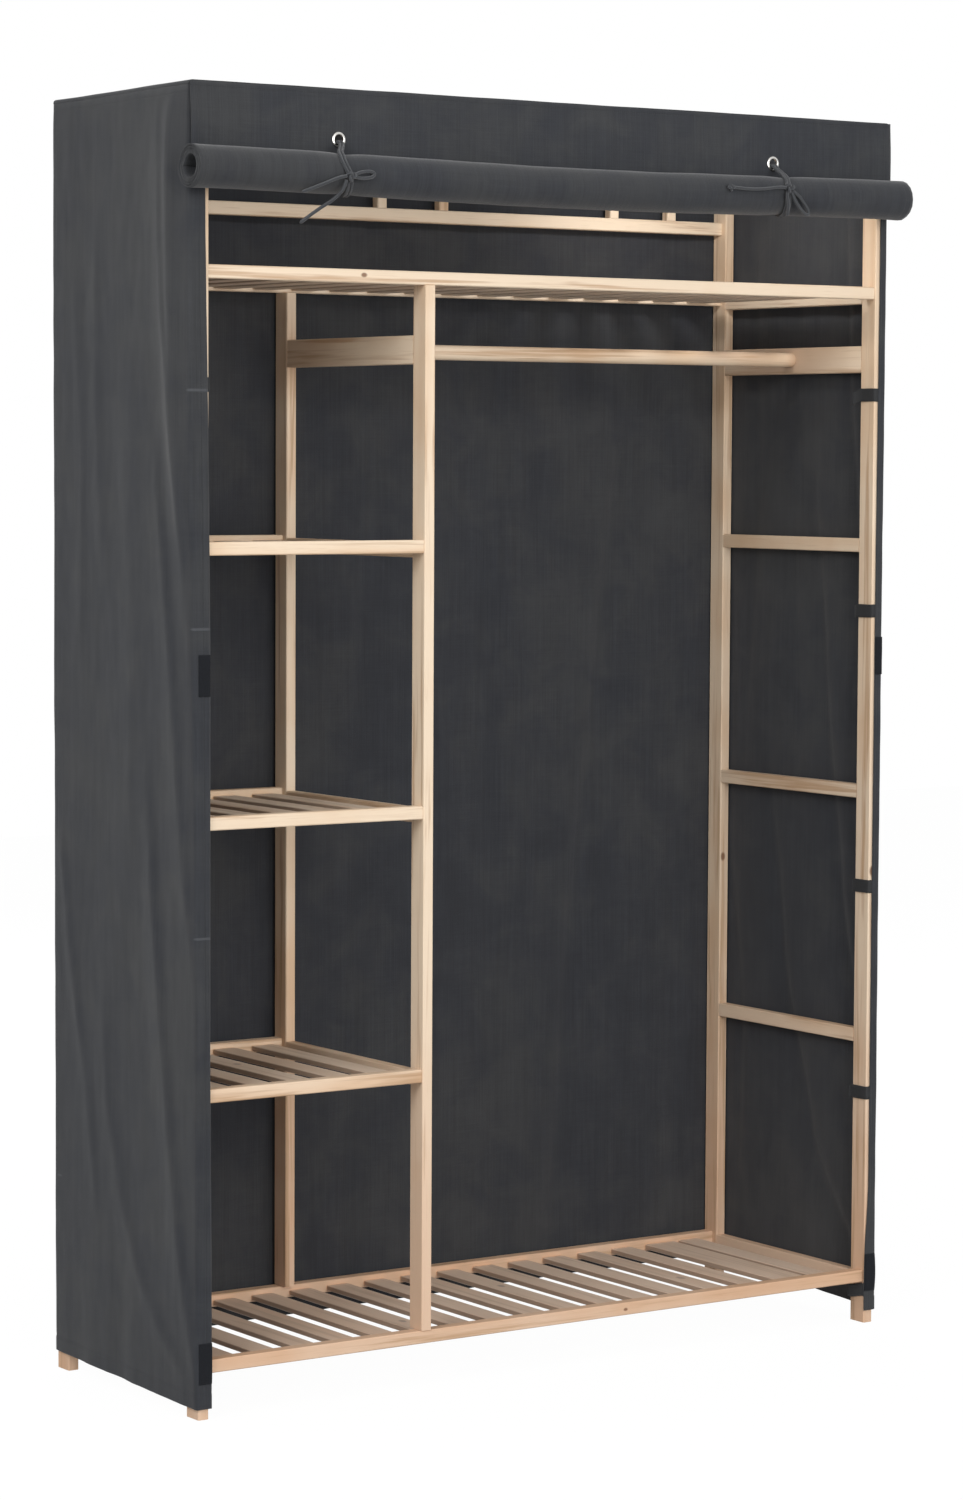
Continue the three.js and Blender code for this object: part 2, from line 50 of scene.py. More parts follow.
# Where the frame stands, read from its own posts
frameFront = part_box("post_front_left")[0].y
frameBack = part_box("post_back_left")[1].y
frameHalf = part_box("post_front_right")[1].x
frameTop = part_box("post_front_left")[1].z
frameMiddle = (frameFront + frameBack) / 2
hands = (("left", -1), ("right", 1))


def middleOf(node):
    return [(low + high) / 2 for low, high in zip(*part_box(node))]


# Camera

cameraSettings = {
    "place": (-3.1574, -4.6012, 1.2205),
    "yaw": 0.599,
    "pitch": 0.0726,
    "roll": 0.005,
    "lens": 99.14,
    "shiftUp": 0.0025,
}


def makeCamera(settings):
    yaw, pitch, roll = settings["yaw"], settings["pitch"], settings["roll"]
    ahead = Vector((math.sin(yaw) * math.cos(pitch), math.cos(yaw) * math.cos(pitch), -math.sin(pitch)))
    level = Vector((math.cos(yaw), -math.sin(yaw), 0))
    upright = level.cross(ahead)
    right = math.cos(roll) * level + math.sin(roll) * upright
    up = math.cos(roll) * upright - math.sin(roll) * level
    data = bpy.data.cameras.new("camera")
    data.lens = settings["lens"]
    data.sensor_width = 36
    data.shift_y = settings["shiftUp"]
    data.clip_end = 60
    camera = bpy.data.objects.new("camera", data)
    turn = Matrix((right, up, -ahead)).transposed().to_4x4()
    camera.matrix_world = Matrix.Translation(settings["place"]) @ turn
    scene.collection.objects.link(camera)
    scene.camera = camera


makeCamera(cameraSettings)
print("camera placed")


# Small sums that several pieces use

def smoothStep(low, high, value):
    share = min(1, max(0, (value - low) / (high - low)))
    return share * share * (3 - 2 * share)


def between(start, end, share):
    return start + (end - start) * share


def evenStops(start, end, step):
    count = max(1, round(abs(end - start) / step))
    return [between(start, end, k / count) for k in range(count + 1)]


def hemStops(hem, top, step):  # distances up a hanging sheet, close together round its hem
    close = [0, 0.0012, 0.004, 0.010, 0.016, hem - 0.0015, hem, hem + 0.0015]
    return close + evenStops(hem + 0.006, top, step)


def ripple(x, y, z, scale):  # soft, repeatable unevenness between about -1 and 1
    return noise.noise(Vector((x, y, z)) * scale)


leanSettings = {
    "reach": -0.0115,
    "heights": (0.35, 1.6),
    "across": (-0.30, -0.55),
    "deep": (0.12, -0.19),
}


def lean(x, y, z):  # the cloth's front left edge leans a little outwards towards the top
    s = leanSettings
    share = smoothStep(*s["heights"], z) * smoothStep(*s["across"], x)
    return s["reach"] * (share * smoothStep(*s["deep"], y - frameMiddle))


def smoothLine(points, step):  # a smooth line through points that may be unevenly spaced
    points = [Vector(point) for point in points]
    whole = [2 * points[0] - points[1], *points, 2 * points[-1] - points[-2]]
    line = []
    for a, b, c, d in zip(whole, whole[1:], whole[2:], whole[3:]):
        gaps = [max(1e-6, (q - p).length) ** 0.5 for p, q in ((a, b), (b, c), (c, d))]
        leave = ((b - a) / gaps[0] - (c - a) / (gaps[0] + gaps[1]) + (c - b) / gaps[1]) * gaps[1]
        arrive = ((c - b) / gaps[1] - (d - b) / (gaps[1] + gaps[2]) + (d - c) / gaps[2]) * gaps[1]
        count = max(2, math.ceil((c - b).length / step))
        for k in range(count):
            t = k / count
            bend = (2 * t**3 - 3 * t**2 + 1) * b + (t**3 - 2 * t**2 + t) * leave
            line.append(bend + (3 * t**2 - 2 * t**3) * c + (t**3 - t**2) * arrive)
    return line + [points[-1]]


def lineLength(line):
    return sum((b - a).length for a, b in zip(line, line[1:]))


# Objects

def addPiece(name, mesh, finish, body, thickness=0):
    for polygon in mesh.polygons:
        polygon.use_smooth = True
    mesh.materials.clear()
    mesh.materials.append(finish)
    piece = bpy.data.objects.new(name, mesh)
    scene.collection.objects.link(piece)
    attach(piece, body)
    if thickness:
        solidify = piece.modifiers.new("thickness", "SOLIDIFY")
        solidify.thickness = thickness
        solidify.offset = 0
    return piece


def meshFrom(shape, name):
    mesh = bpy.data.meshes.new(name)
    shape.to_mesh(mesh)
    shape.free()
    return mesh


# A flat grid, then every point put in its place
def gridMesh(name, acrossStops, downStops, place, trim=None):
    shape = bmesh.new()
    across, down = len(acrossStops) - 1, len(downStops) - 1
    bmesh.ops.create_grid(shape, x_segments=across, y_segments=down, size=1)
    layer = shape.loops.layers.uv.verify()
    stations = {}
    for vert in shape.verts:
        stations[vert] = (round((vert.co.x + 1) / 2 * across), round((vert.co.y + 1) / 2 * down))
    for face in shape.faces:
        for loop in face.loops:
            i, j = stations[loop.vert]
            loop[layer].uv = (acrossStops[i], downStops[j])
    for vert, (i, j) in stations.items():
        vert.co = place(acrossStops[i], downStops[j])
    if trim:
        trim(shape)
    return meshFrom(shape, name)


# A round cord along a line, its end drawn in where it has a tip
def tubeMesh(name, line, radius, closed=False, tip=0):
    curve = bpy.data.curves.new(name, "CURVE")
    curve.dimensions = "3D"
    curve.bevel_depth = radius
    curve.bevel_resolution = 3
    curve.use_fill_caps = not closed
    spline = curve.splines.new("POLY")
    spline.points.add(len(line) - 1)
    spline.use_cyclic_u = closed
    for point, place in zip(spline.points, line):
        point.co = (*place, 1)
        if tip:
            point.radius = min(1, 0.45 + (place - line[-1]).length / tip)
    holder = bpy.data.objects.new(name, curve)
    scene.collection.objects.link(holder)
    mesh = bpy.data.meshes.new_from_object(holder.evaluated_get(bpy.context.evaluated_depsgraph_get()))
    bpy.data.objects.remove(holder)
    length = lineLength(line)
    for loop in mesh.uv_layers[0].data:
        loop.uv = (loop.uv.x * length / radius, loop.uv.y)
    return mesh


def joinMeshes(name, meshes):
    shape = bmesh.new()
    for mesh in meshes:
        shape.from_mesh(mesh)
        bpy.data.meshes.remove(mesh)
    return meshFrom(shape, name)


# Finishes: one class for a node's output, which does sums, and one for a material

class Wire:
    def __init__(self, finish, socket):
        self.finish = finish
        self.socket = socket

    def other(self, output):  # another output of the same node
        return Wire(self.finish, self.socket.node.outputs[output])

    def maths(self, operation, *values):
        sockets = dict(enumerate((self, *values)))
        return self.finish.node("ShaderNodeMath", {"operation": operation}, sockets)

    def __add__(self, value):
        return self.maths("ADD", value)

    def __mul__(self, value):
        return self.maths("MULTIPLY", value)

    def __sub__(self, value):
        return self.maths("SUBTRACT", value)

    def __truediv__(self, value):
        return self.maths("DIVIDE", value)

    def __abs__(self):
        return self.maths("ABSOLUTE")

    __radd__ = __add__


class Finish:
    def __init__(self, name, library=bpy.data.materials):
        self.owner = library.new(name)
        self.owner.use_nodes = True
        self.tree = self.owner.node_tree
        self.tree.nodes.clear()

    def node(self, kind, settings=None, sockets=None, output=0):
        made = self.tree.nodes.new(kind)
        for key, value in (settings or {}).items():
            setattr(made, key, value)
        for key, value in (sockets or {}).items():
            if isinstance(value, Wire):
                self.tree.links.new(value.socket, made.inputs[key])
            else:
                made.inputs[key].default_value = value
        return Wire(self, made.outputs[output])

    def coordinates(self, output):
        return self.node("ShaderNodeTexCoord", output=output)

    def parts(self, vector):
        x = self.node("ShaderNodeSeparateXYZ", sockets={0: vector})
        return x, x.other(1), x.other(2)

    def point(self, x, y, z=0.0):
        return self.node("ShaderNodeCombineXYZ", sockets={0: x, 1: y, 2: z})

    def vectors(self, operation, *values, output=0):
        return self.node("ShaderNodeVectorMath", {"operation": operation}, dict(enumerate(values)), output)

    def scaled(self, vector, scale):
        return self.vectors("MULTIPLY", vector, scale)

    def away(self, place, middle, scale):  # the distance from a middle, each axis with its own scale
        return self.vectors("LENGTH", self.scaled(self.vectors("SUBTRACT", place, middle), scale), output=1)

    def noise(self, vector, scale, detail=2.0, roughness=0.5, distortion=0.0):
        sockets = {"Vector": vector, "Scale": scale, "Detail": detail, "Roughness": roughness}
        return self.node("ShaderNodeTexNoise", sockets=sockets | {"Distortion": distortion})

    def ease(self, value, low, high):  # 0 at low, 1 at high, smooth between
        sockets = {"Value": value, "From Min": low, "From Max": high}
        return self.node("ShaderNodeMapRange", {"interpolation_type": "SMOOTHSTEP"}, sockets)

    def mix(self, factor, first, second):
        return self.node("ShaderNodeMix", {"data_type": "RGBA"}, {0: factor, 6: first, 7: second}, output=2)

    def blendVectors(self, factor, first, second):
        return self.node("ShaderNodeMix", {"data_type": "VECTOR"}, {0: factor, 4: first, 5: second}, output=1)

    def surface(self, colour, roughness, height, depth, **constants):
        bump = self.node("ShaderNodeBump", sockets={"Height": height, "Distance": depth, "Strength": 1.0})
        sockets = {"Base Color": colour, "Roughness": roughness, "Normal": bump}
        sockets.update({key.replace("_", " "): value for key, value in constants.items()})
        return self.show(self.node("ShaderNodeBsdfPrincipled", sockets=sockets))

    def show(self, shader, output="ShaderNodeOutputMaterial"):
        last = self.tree.nodes.new(output)
        self.tree.links.new(shader.socket, last.inputs["Surface"])
        return self.owner


def tone(*levels):  # a colour as it shows on a screen, 0 to 255, made linear
    shares = [level / 255 for level in levels]
    linear = [share / 12.92 if share <= 0.04045 else ((share + 0.055) / 1.055) ** 2.4 for share in shares]
    return (*linear, 1.0)


def strongest(fields):
    most, *others = fields
    for field in others:
        most = most.maths("MAXIMUM", field)
    return most


def vary(finish, colour, amount, steps):  # the colour, darker or lighter by a field round one half
    darker, lighter = [(*[value * share for value in colour[:3]], 1.0) for share in (1 - steps, 1 + steps)]
    return finish.mix(amount, darker, lighter)


# Ties: cord round the roll and through an eyelet, knotted in front, with a bow and two free ends

curtainSettings = {
    "rollDrop": 0.105,
    "rollRadius": 0.0275,
    "rollSag": 0.0055,
    "rollHalf": 0.566,
    "rollShift": -0.015,
    "stitched": 0.0008,  # how far the roll's middle is nearer the valance than its radius
}
tieSettings = {
    "diameter": 0.0044,
    "gap": 0.0005,
    "sink": 0.0024,
    "strandGap": 0.0023,
    "knotSize": (0.0062, 0.0040, 0.0056),
    "knotHalf": 0.0033,
    "knotSteps": 48,
    "knotShare": 0.9,
    "tipKnotShares": (0.72, 0.7),  # of the knot's size and of the cord's radius
    "tipLength": 0.004,
    "step": 0.0025,
    "knotEntry": (0.002, 0.003),
    "holeDrop": 0.0030,
    "beforeHole": [(0.0068, 0.0060), (0.0042, 0.0034)],  # before the curtain, under the eyelet
    "behind": (0.0054, 0.0050, 0.014),  # how far behind, where it comes out, and its straight stretch
    "frontTurns": (30, 52, 74),
    "backTurns": [(-115, 0.9), (-90, 0.6), (-60, 0.4), (-30, 0.2), (-12, 0.1)],
    "colour": (47, 49, 53),
    "paler": (84, 86, 90),
    "left": {
        "knot": (-0.018, -0.005), "bow": (0.033, 0.004), "bowHeight": 0.0066, "over": (-0.32, -0.26, -0.04),
    },
    "right": {
        "knot": (-0.0165, 0.009), "bow": (0.031, -0.033), "bowHeight": 0.0085, "over": (0.2, 0.4, 0.62),
    },
    "bowShares": [(0.12, 0.35), (0.5, 1.2), (0.95, 0.9), (1.04, 0), (0.95, -0.9), (0.5, -1.2), (0.12, -0.35)],
}
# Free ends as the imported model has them, in millimetres from the knot: X along, Y away from the roll, Z up
freeEnds = {
    "tie_long_end_left": [
        (-7.4, 0.5, -4.6), (-9, 0, -10.5), (-11.5, -2.5, -18), (-16, -5.5, -24), (-22, -8, -29.5),
        (-29, -10.5, -34.5), (-36.5, -12.5, -39.5), (-44, -13.5, -44.5), (-51.5, -14, -49.5),
        (-59, -14, -54.5), (-66.5, -14, -59.5),
    ],
    "tie_short_end_left": [
        (-7.6, 1, 0), (-12, 1, -0.6), (-18, 0.9, -2.2), (-25, 0.6, -4.6), (-32, 0.1, -7.4),
        (-39, -0.7, -10.2), (-46, -1.8, -13), (-53, -3.2, -15.8), (-60, -4.9, -18.6), (-68, -7, -21.6),
    ],
    "tie_long_end_right": [
        (-5, 1.5, -6.3), (-5, 1.4, -9), (-4.2, 1, -13), (-3, 0.4, -17), (-1.6, -0.6, -21),
        (-0.4, -2, -25), (0.8, -4, -29), (2, -6.5, -33), (3, -9, -37),
    ],
    "tie_short_end_right": [
        (-7.6, 1, 0), (-12, 1, 0.3), (-18, 0.8, 0.2), (-25, 0.5, -0.4), (-39, 0.1, -2.4),
        (-53, 0.1, -3.6), (-67, 0.2, -4), (-81, 0.2, -3.6), (-94, 0.2, -3), (-105, 0.2, -3),
    ],
}
_, curtainPlane, eyeletLevel = middleOf("eyelet_left")
eyeletSpread = middleOf("eyelet_right")[0]
rollMiddle = curtainPlane - curtainSettings["rollRadius"] + curtainSettings["stitched"]
rollLevel = frameTop - curtainSettings["rollDrop"]


def rollDip(x):
    return curtainSettings["rollSag"] * math.cos(math.pi * x / (2 * curtainSettings["rollHalf"])) ** 2


def cordFinish():
    s = tieSettings
    finish = Finish("braided_cord")
    u, v, _ = finish.parts(finish.coordinates("UV"))
    turn = 2 * math.pi
    strands = ((u * 0.9 + v * 2) * turn).maths("SINE") * ((u * 0.9 - v * 2) * turn).maths("SINE")
    fluff = finish.noise(finish.coordinates("Object"), 1800, detail=2)
    amount = finish.ease(strands + (fluff - 0.5) * 0.8, -0.6, 0.9)
    colour = finish.mix(amount * 0.55, tone(*s["colour"]), tone(*s["paler"]))
    return finish.surface(colour, 0.82 + fluff * 0.1, strands + fluff * 0.5, 0.0003, Sheen_Weight=0.2)


def knotLine(middle, size):  # a three-fold knot, drawn tight
    points = []
    steps = tieSettings["knotSteps"]
    for k in range(steps):
        t = 2 * math.pi * k / steps
        x = (math.sin(t) + 2 * math.sin(2 * t)) / 3
        z = (math.cos(t) - 2 * math.cos(2 * t)) / 3
        points.append(middle + Vector((x * size[0], -math.sin(3 * t) * size[1] * 0.6, z * size[2])))
    return points


def tieLoop(knot, rollHeight, eyeletX, aside, over):
    s = tieSettings
    reach = curtainSettings["rollRadius"] + s["diameter"] / 2 - s["sink"]

    def wrapped(degrees, share):
        turn = math.radians(degrees)
        x = between(knot.x, eyeletX, share) + aside
        return (x, rollMiddle - reach * math.cos(turn), rollHeight + reach * math.sin(turn))

    x = eyeletX + aside
    above, (behind, out, straight) = s["knotEntry"], s["behind"]
    route = [knot + Vector((aside, *above))]
    route += [wrapped(turn, share) for turn, share in zip(s["frontTurns"], over)]
    route += [(x, curtainPlane - front, eyeletLevel - drop) for front, drop in s["beforeHole"]]
    route += [(x, curtainPlane, eyeletLevel - s["holeDrop"]), (x, curtainPlane + behind, eyeletLevel - out)]
    route += [(x, curtainPlane + behind, rollHeight + rise) for rise in (straight, -straight)]
    route += [wrapped(turn, share) for turn, share in s["backTurns"]]
    return smoothLine(route + [knot + Vector((aside, above[0], -above[1]))], s["step"])


def bowLoop(knot, bow, bowHeight):
    s = tieSettings
    length = math.hypot(*bow)
    half = bowHeight / 2 / length
    route = []
    for along, across in s["bowShares"]:
        x = bow[0] * along - bow[1] * across * half
        z = bow[1] * along + bow[0] * across * half
        route.append(knot + Vector((x, 0.0006 * across, z)))
    return smoothLine(route, s["step"])


def makeTies():
    s = tieSettings
    finish = cordFinish()
    radius = s["diameter"] / 2
    knotMiddle = rollMiddle - curtainSettings["rollRadius"] - s["gap"] - s["knotHalf"]
    for hand, side in hands:
        own = s[hand]
        eyeletX = side * eyeletSpread
        shift, rise = own["knot"]
        rollHeight = rollLevel - rollDip(eyeletX + shift)
        knot = Vector((eyeletX + shift, knotMiddle, rollHeight + rise))
        meshes = [tubeMesh("knot", knotLine(knot, s["knotSize"]), radius * s["knotShare"], closed=True)]
        for aside in (-s["strandGap"], s["strandGap"]):
            meshes.append(tubeMesh("strand", tieLoop(knot, rollHeight, eyeletX, aside, own["over"]), radius))
        meshes.append(tubeMesh("bow", bowLoop(knot, own["bow"], own["bowHeight"]), radius))
        joined = joinMeshes("tie_cord_" + hand, meshes)
        tie = addPiece("tie_cord_" + hand, joined, finish, "curtain")
        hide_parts("tie_" + hand)
        for name, points in freeEnds.items():
            if not name.endswith(hand):
                continue
            route = [knot + Vector((x, -y, z)) / 1000 for x, y, z in points]
            line = smoothLine(route, s["step"])
            tube = tubeMesh(name, line, radius, tip=s["tipLength"])
            end = addPiece(name + "_cord", tube, finish, "curtain")
            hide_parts(name)
            knotted = name == "tie_short_end_right"
            if knotted:
                smaller, thinner = s["tipKnotShares"]
                size = tuple(value * smaller for value in s["knotSize"])
                tipKnot = tubeMesh("tip", knotLine(line[-4], size), radius * thinner, closed=True)
                addPiece(name + "_knot", tipKnot, finish, "curtain")
            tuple(line[0])
            lineLength(line)


makeTies()
print("ties made")


# Pine: growth streaks along each timber, paler and darker boards, a few knots, and painted shade deep inside
# the frame and on the slats

pineSettings = {
    "light": (238, 217, 191),
    "warm": (220, 186, 151),
    "streak": (184, 146, 110),
    "knot": (116, 76, 50),
    "stretch": 0.035,
    "slatPale": (246, 230, 214),
    # each slat's own random tone, mostly darker, partly as painted shade
    "slatDark": (170, 126, 92),
    "slatShade": 0.10,
    # painted shade on the slats' sides, in the gaps between them
    "slatSideShade": (118, 82, 56),
    "slatDrop": 0.007,
    "slatThickness": 0.007,
    "base": (216, 168, 136),
    # the brown of the painted shade deep inside the frame
    "shadeBrown": (158, 108, 72),
    "slatFirst": -0.505,
    "slatPitch": 0.061,
    "slatReach": 0.163,
    "edge": 0.0005,
    "knots": [  # place, radius and the axis of the timber
        ((0.545, 0.197, 0.620), 0.0070, "z"), ((0.540, 0.186, 0.632), 0.0050, "z"),
        ((0.541, -0.155, 0.640), 0.0060, "z"), ((-0.305, -0.153, 1.446), 0.0038, "x"),
        ((-0.190, -0.153, 1.101), 0.0055, "x"), ((0.120, -0.153, 0.066), 0.0028, "x"),
        ((-0.203, -0.150, 0.560), 0.0045, "z"), ((-0.545, -0.120, 0.006), 0.0050, "z"),
        ((-0.420, 0.040, 0.068), 0.0070, "y"), ((-0.180, -0.060, 0.068), 0.0060, "y"),
        ((0.062, 0.060, 0.068), 0.0060, "y"), ((0.306, -0.030, 0.068), 0.0070, "y"),
        ((-0.365, 0.060, 0.412), 0.0060, "y"), ((-0.480, -0.020, 0.757), 0.0060, "y"),
    ],
    "shadePatches": [  # place, reach along each axis and strength of a patch of painted brown shade deep inside the frame
        ((-0.205, 0.170, 1.358), (0.06, 0.17, 0.09), 0.26),
        ((0.420, 0.060, 1.362), (0.12, 0.30, 0.02), 0.30),
        ((0.545, 0.060, 1.362), (0.03, 0.20, 0.08), 0.45),
        ((0.545, 0.040, 0.720), (0.02, 0.30, 0.50), 0.30),
    ],
}
decks = ("base_deck", "lower_shelf", "middle_shelf", "upper_shelf", "hat_shelf")


def pineFinish(name, along):
    s = pineSettings
    finish = Finish(name)
    place = finish.coordinates("Object")
    squeeze = {axis: Vector([s["stretch"] if axis == each else 1 for each in "xyz"]) for axis in "xyz"}
    if along == "deck":  # rails run along X, and the slats between them along Y
        x, y, _ = finish.parts(place)
        slats = finish.ease(abs(y - frameMiddle), s["slatReach"] + s["edge"], s["slatReach"] - s["edge"])
        alongX, alongY = (finish.scaled(place, squeeze[axis]) for axis in "xy")
        grain = finish.blendVectors(slats, alongX, alongY)
        number = ((x - s["slatFirst"]) / s["slatPitch"]).maths("FLOOR")
        board = finish.node("ShaderNodeTexWhiteNoise", {"noise_dimensions": "1D"}, {"W": number})
        apart = board * slats
        grain = finish.vectors("ADD", grain, finish.point(apart, apart))
        # each slat's own random tone, biased darker as painted shade
        slatToneAndShade = slats * (board - 0.2) * s["slatShade"]
    else:
        grain = finish.scaled(place, squeeze[along])
    wide = finish.noise(grain, 22, detail=2)
    rings = finish.noise(grain, 85, detail=3, roughness=0.6, distortion=0.35)
    fine = finish.noise(grain, 420, detail=2, roughness=0.7)
    blotch = finish.noise(place, 9, detail=2)
    warmth = finish.ease(wide + (blotch - 0.5) * 0.5, 0.36, 0.75)
    colour = finish.mix(warmth, tone(*s["light"]), tone(*s["warm"]))
    # painted shade: brown patches under the hat shelf and along the right-hand side, deep inside the frame
    shadePatches = []
    for middle, reaches, strength in s["shadePatches"]:
        away = finish.away(place, middle, [1 / reach for reach in reaches])
        shadePatches.append(finish.ease(away + (wide - 0.5) * 0.5, 1.0, 0.2) * strength)
    level = finish.parts(place)[2]
    lines = finish.ease(rings, 0.52, 0.68) * 0.68 + finish.ease(fine, 0.55, 0.80) * 0.24
    spots = []
    for middle, radius, axis in s["knots"]:
        away = finish.away(place, middle, [0.62 if axis == each else 1 for each in "xyz"])
        spots.append(finish.ease(away + (fine - 0.5) * 0.002, radius, radius * 0.45))
    knots = strongest(spots)
    layers = [(strongest(shadePatches), "shadeBrown"), (finish.ease(level, 0.62, 0.08) * 0.50, "base")]
    layers += [(lines, "streak"), (knots * 0.85, "knot")]
    if along == "deck":
        half = s["slatThickness"] / 2
        edges = 0.0  # the slats' sides, without their top and bottom faces, where shade is painted
        for deck in decks:
            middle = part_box(deck)[1].z - s["slatDrop"] - half
            edges = finish.ease(abs(level - middle), half - 0.0004, half - 0.0010) + edges
        layers += [(slats * 0.42, "slatPale"), (slatToneAndShade, "slatDark"), (slats * edges * 0.56, "slatSideShade")]
    for amount, layer in layers:
        colour = finish.mix(amount, colour, tone(*s[layer]))
    rough = 0.52 + rings * 0.14 + fine * 0.06
    height = rings * 0.5 + fine * 0.35 - knots * 0.4
    return finish.surface(colour, rough, height, 0.0004, IOR=1.45)


def dressTimbers():
    finishes = {along: pineFinish("pine_" + along, along) for along in ("x", "y", "z", "deck")}
    kinds = {
        "z": ("post_", "fence_stick_"),
        "y": ("rung_", "rod_board_"),
        "x": ("top_rail_", "fence_rail", "hanging_rod"),
        "deck": decks,
    }
    for name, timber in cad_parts.items():
        for along, starts in kinds.items():
            if name.startswith(starts):
                timber.material_slots[0].material = finishes[along]


dressTimbers()
print("pine frame dressed")


# Cloth finish: dark woven polyester with upright slubs, folds pressed in by packing, and stitched hems

clothSettings = {
    "thickness": 0.0009,
    "outer": (54, 55, 57),
    "slubLight": 0.15,
    "cool": (50, 52, 57),
    "threadPitch": 0.0013,
    "stitchLength": 0.0032,
    "stitchWidth": 0.0007,
    "stitch": (40, 41, 43),
    "tack": (84, 86, 90),
    "tackShape": (0.05, 0.55, 1.9),
    "tackReach": (0.0040, 0.0022),
}


# Seams run up the cloth and hems across it. Marks are tacked spots.
def clothFinish(name, seams, hems, marks=()):
    s = clothSettings
    finish = Finish(name)
    u, v, _ = finish.parts(finish.coordinates("UV"))
    place = finish.coordinates("Object")
    upright = finish.noise(finish.point(u * 620, v * 9), 1.0, detail=3, roughness=0.65)
    level = finish.noise(finish.point(u * 14, v * 760), 1.0, detail=2, roughness=0.6)
    mottle = finish.noise(place, 15, detail=4, roughness=0.6, distortion=0.4)
    cloud = finish.noise(place, 2.4, detail=2)
    nap = finish.noise(place, 900, detail=1)
    streak = finish.noise(finish.point(u * 130, v * 4), 1.0, detail=3, roughness=0.6, distortion=0.3)
    amount = upright * 0.26 + level * 0.14 + streak * 0.16 + mottle * 0.28 + cloud * 0.16
    depth = finish.ease(amount, 0.32, 0.68)
    cool = vary(finish, tone(*s["cool"]), depth, s["slubLight"] * 2)
    plain = vary(finish, tone(*s["outer"]), depth, s["slubLight"] * 2)
    colour = finish.mix(finish.ease(mottle + (cloud - 0.5), 0.30, 0.70), cool, plain)
    turn = 2 * math.pi / s["threadPitch"]
    weave = (u * turn).maths("SINE") * (v * turn).maths("SINE")
    height = upright * 0.45 + level * 0.25 + nap * 0.15 + weave * 0.12
    stitches = []
    for line, run, far in [(u, v, seam) for seam in seams] + [(v, u, hem) for hem in hems]:
        near = finish.ease(abs(line - far), s["stitchWidth"], s["stitchWidth"] * 0.4)
        stitches.append(near * finish.ease((run / s["stitchLength"]).maths("FRACT"), 0.82, 0.74))
    dashes = strongest(stitches)
    colour = finish.mix(dashes * 0.5, colour, tone(*s["stitch"]))
    height = height - dashes * 0.6
    for middle in marks:
        spot = finish.ease(finish.away(place, middle, s["tackShape"]), *s["tackReach"])
        colour = finish.mix(spot * 0.6, colour, tone(*s["tack"]))
    rough = 0.86 + (mottle - 0.5) * 0.1
    return finish.surface(colour, rough, height, 0.00035, Sheen_Weight=0.22, Sheen_Roughness=0.5,
                          Specular_IOR_Level=0.2)


# Folds, in millimetres: a row is how far the ridge rises, its widths to the front and to the back, and its
# line from the top down, as (along, height)

def interpolate(line, height):
    for (a, top), (b, bottom) in zip(line, line[1:]):
        if height >= bottom:
            share = (top - height) / (top - bottom)
            return between(a, b, smoothStep(0, 1, share) * 0.4 + min(1, max(0, share)) * 0.6)
    return line[-1][0]


def foldRise(folds, along, height, spread=1.0):
    along, height, rise = along * 1000, height * 1000, 0
    for ridge, front, back, line in folds:
        share = (line[0][1] - height) / (line[0][1] - line[-1][1])
        ends = smoothStep(-0.15, 0.2, share) * smoothStep(1.18, 0.88, share)
        if ends <= 0:
            continue
        away = along - interpolate(line, height)
        width = spread * (front if away < 0 else back)
        rise += ridge * ends * math.exp(-abs(away / width) ** 1.5)
    return rise / 1000


# Side panels: cut to wrap round the back and front posts, hemmed at the foot, with a flap beside the opening

sideSettings = {
    "top": 1.6731,
    "clearance": 0.0022,
    "cornerRadius": 0.0045,
    "backReturn": 0.010,
    "flapRun": 0.012,
    "steps": (0.004, 0.0018, 0.0052, 0.0018, 0.002),  # back return, corner, side, corner, flap
    "rowStep": 0.0085,
    "hemDepth": 0.020,
    "hemSwell": 0.0004,
    "foldStrength": 0.8,
    "foldSpread": 0.72,
    "slack": 0.0009,
    "crumple": 0.0004,
    "hemWave": 0.0022,
    "left": {
        "hemFront": 0.014, "hemBack": 0.024, "flapTop": 0.0108, "flapBottom": 0.0180,
        "flapFlare": (0.0022, 0.50, 0.10), "wave": 3.1,
    },
    "right": {
        "hemFront": 0.018, "hemBack": 0.038, "flapTop": 0.0112, "flapBottom": 0.0128,
        "flapFlare": (0.0065, 0.20, 0.07), "wave": 8.4,
    },
    "flat": (0.404, 1.665),
    "tacks": [(-0.187, 1.297), (-0.189, 1.000), (-0.189, 0.612), (0.173, 0.261)],
}
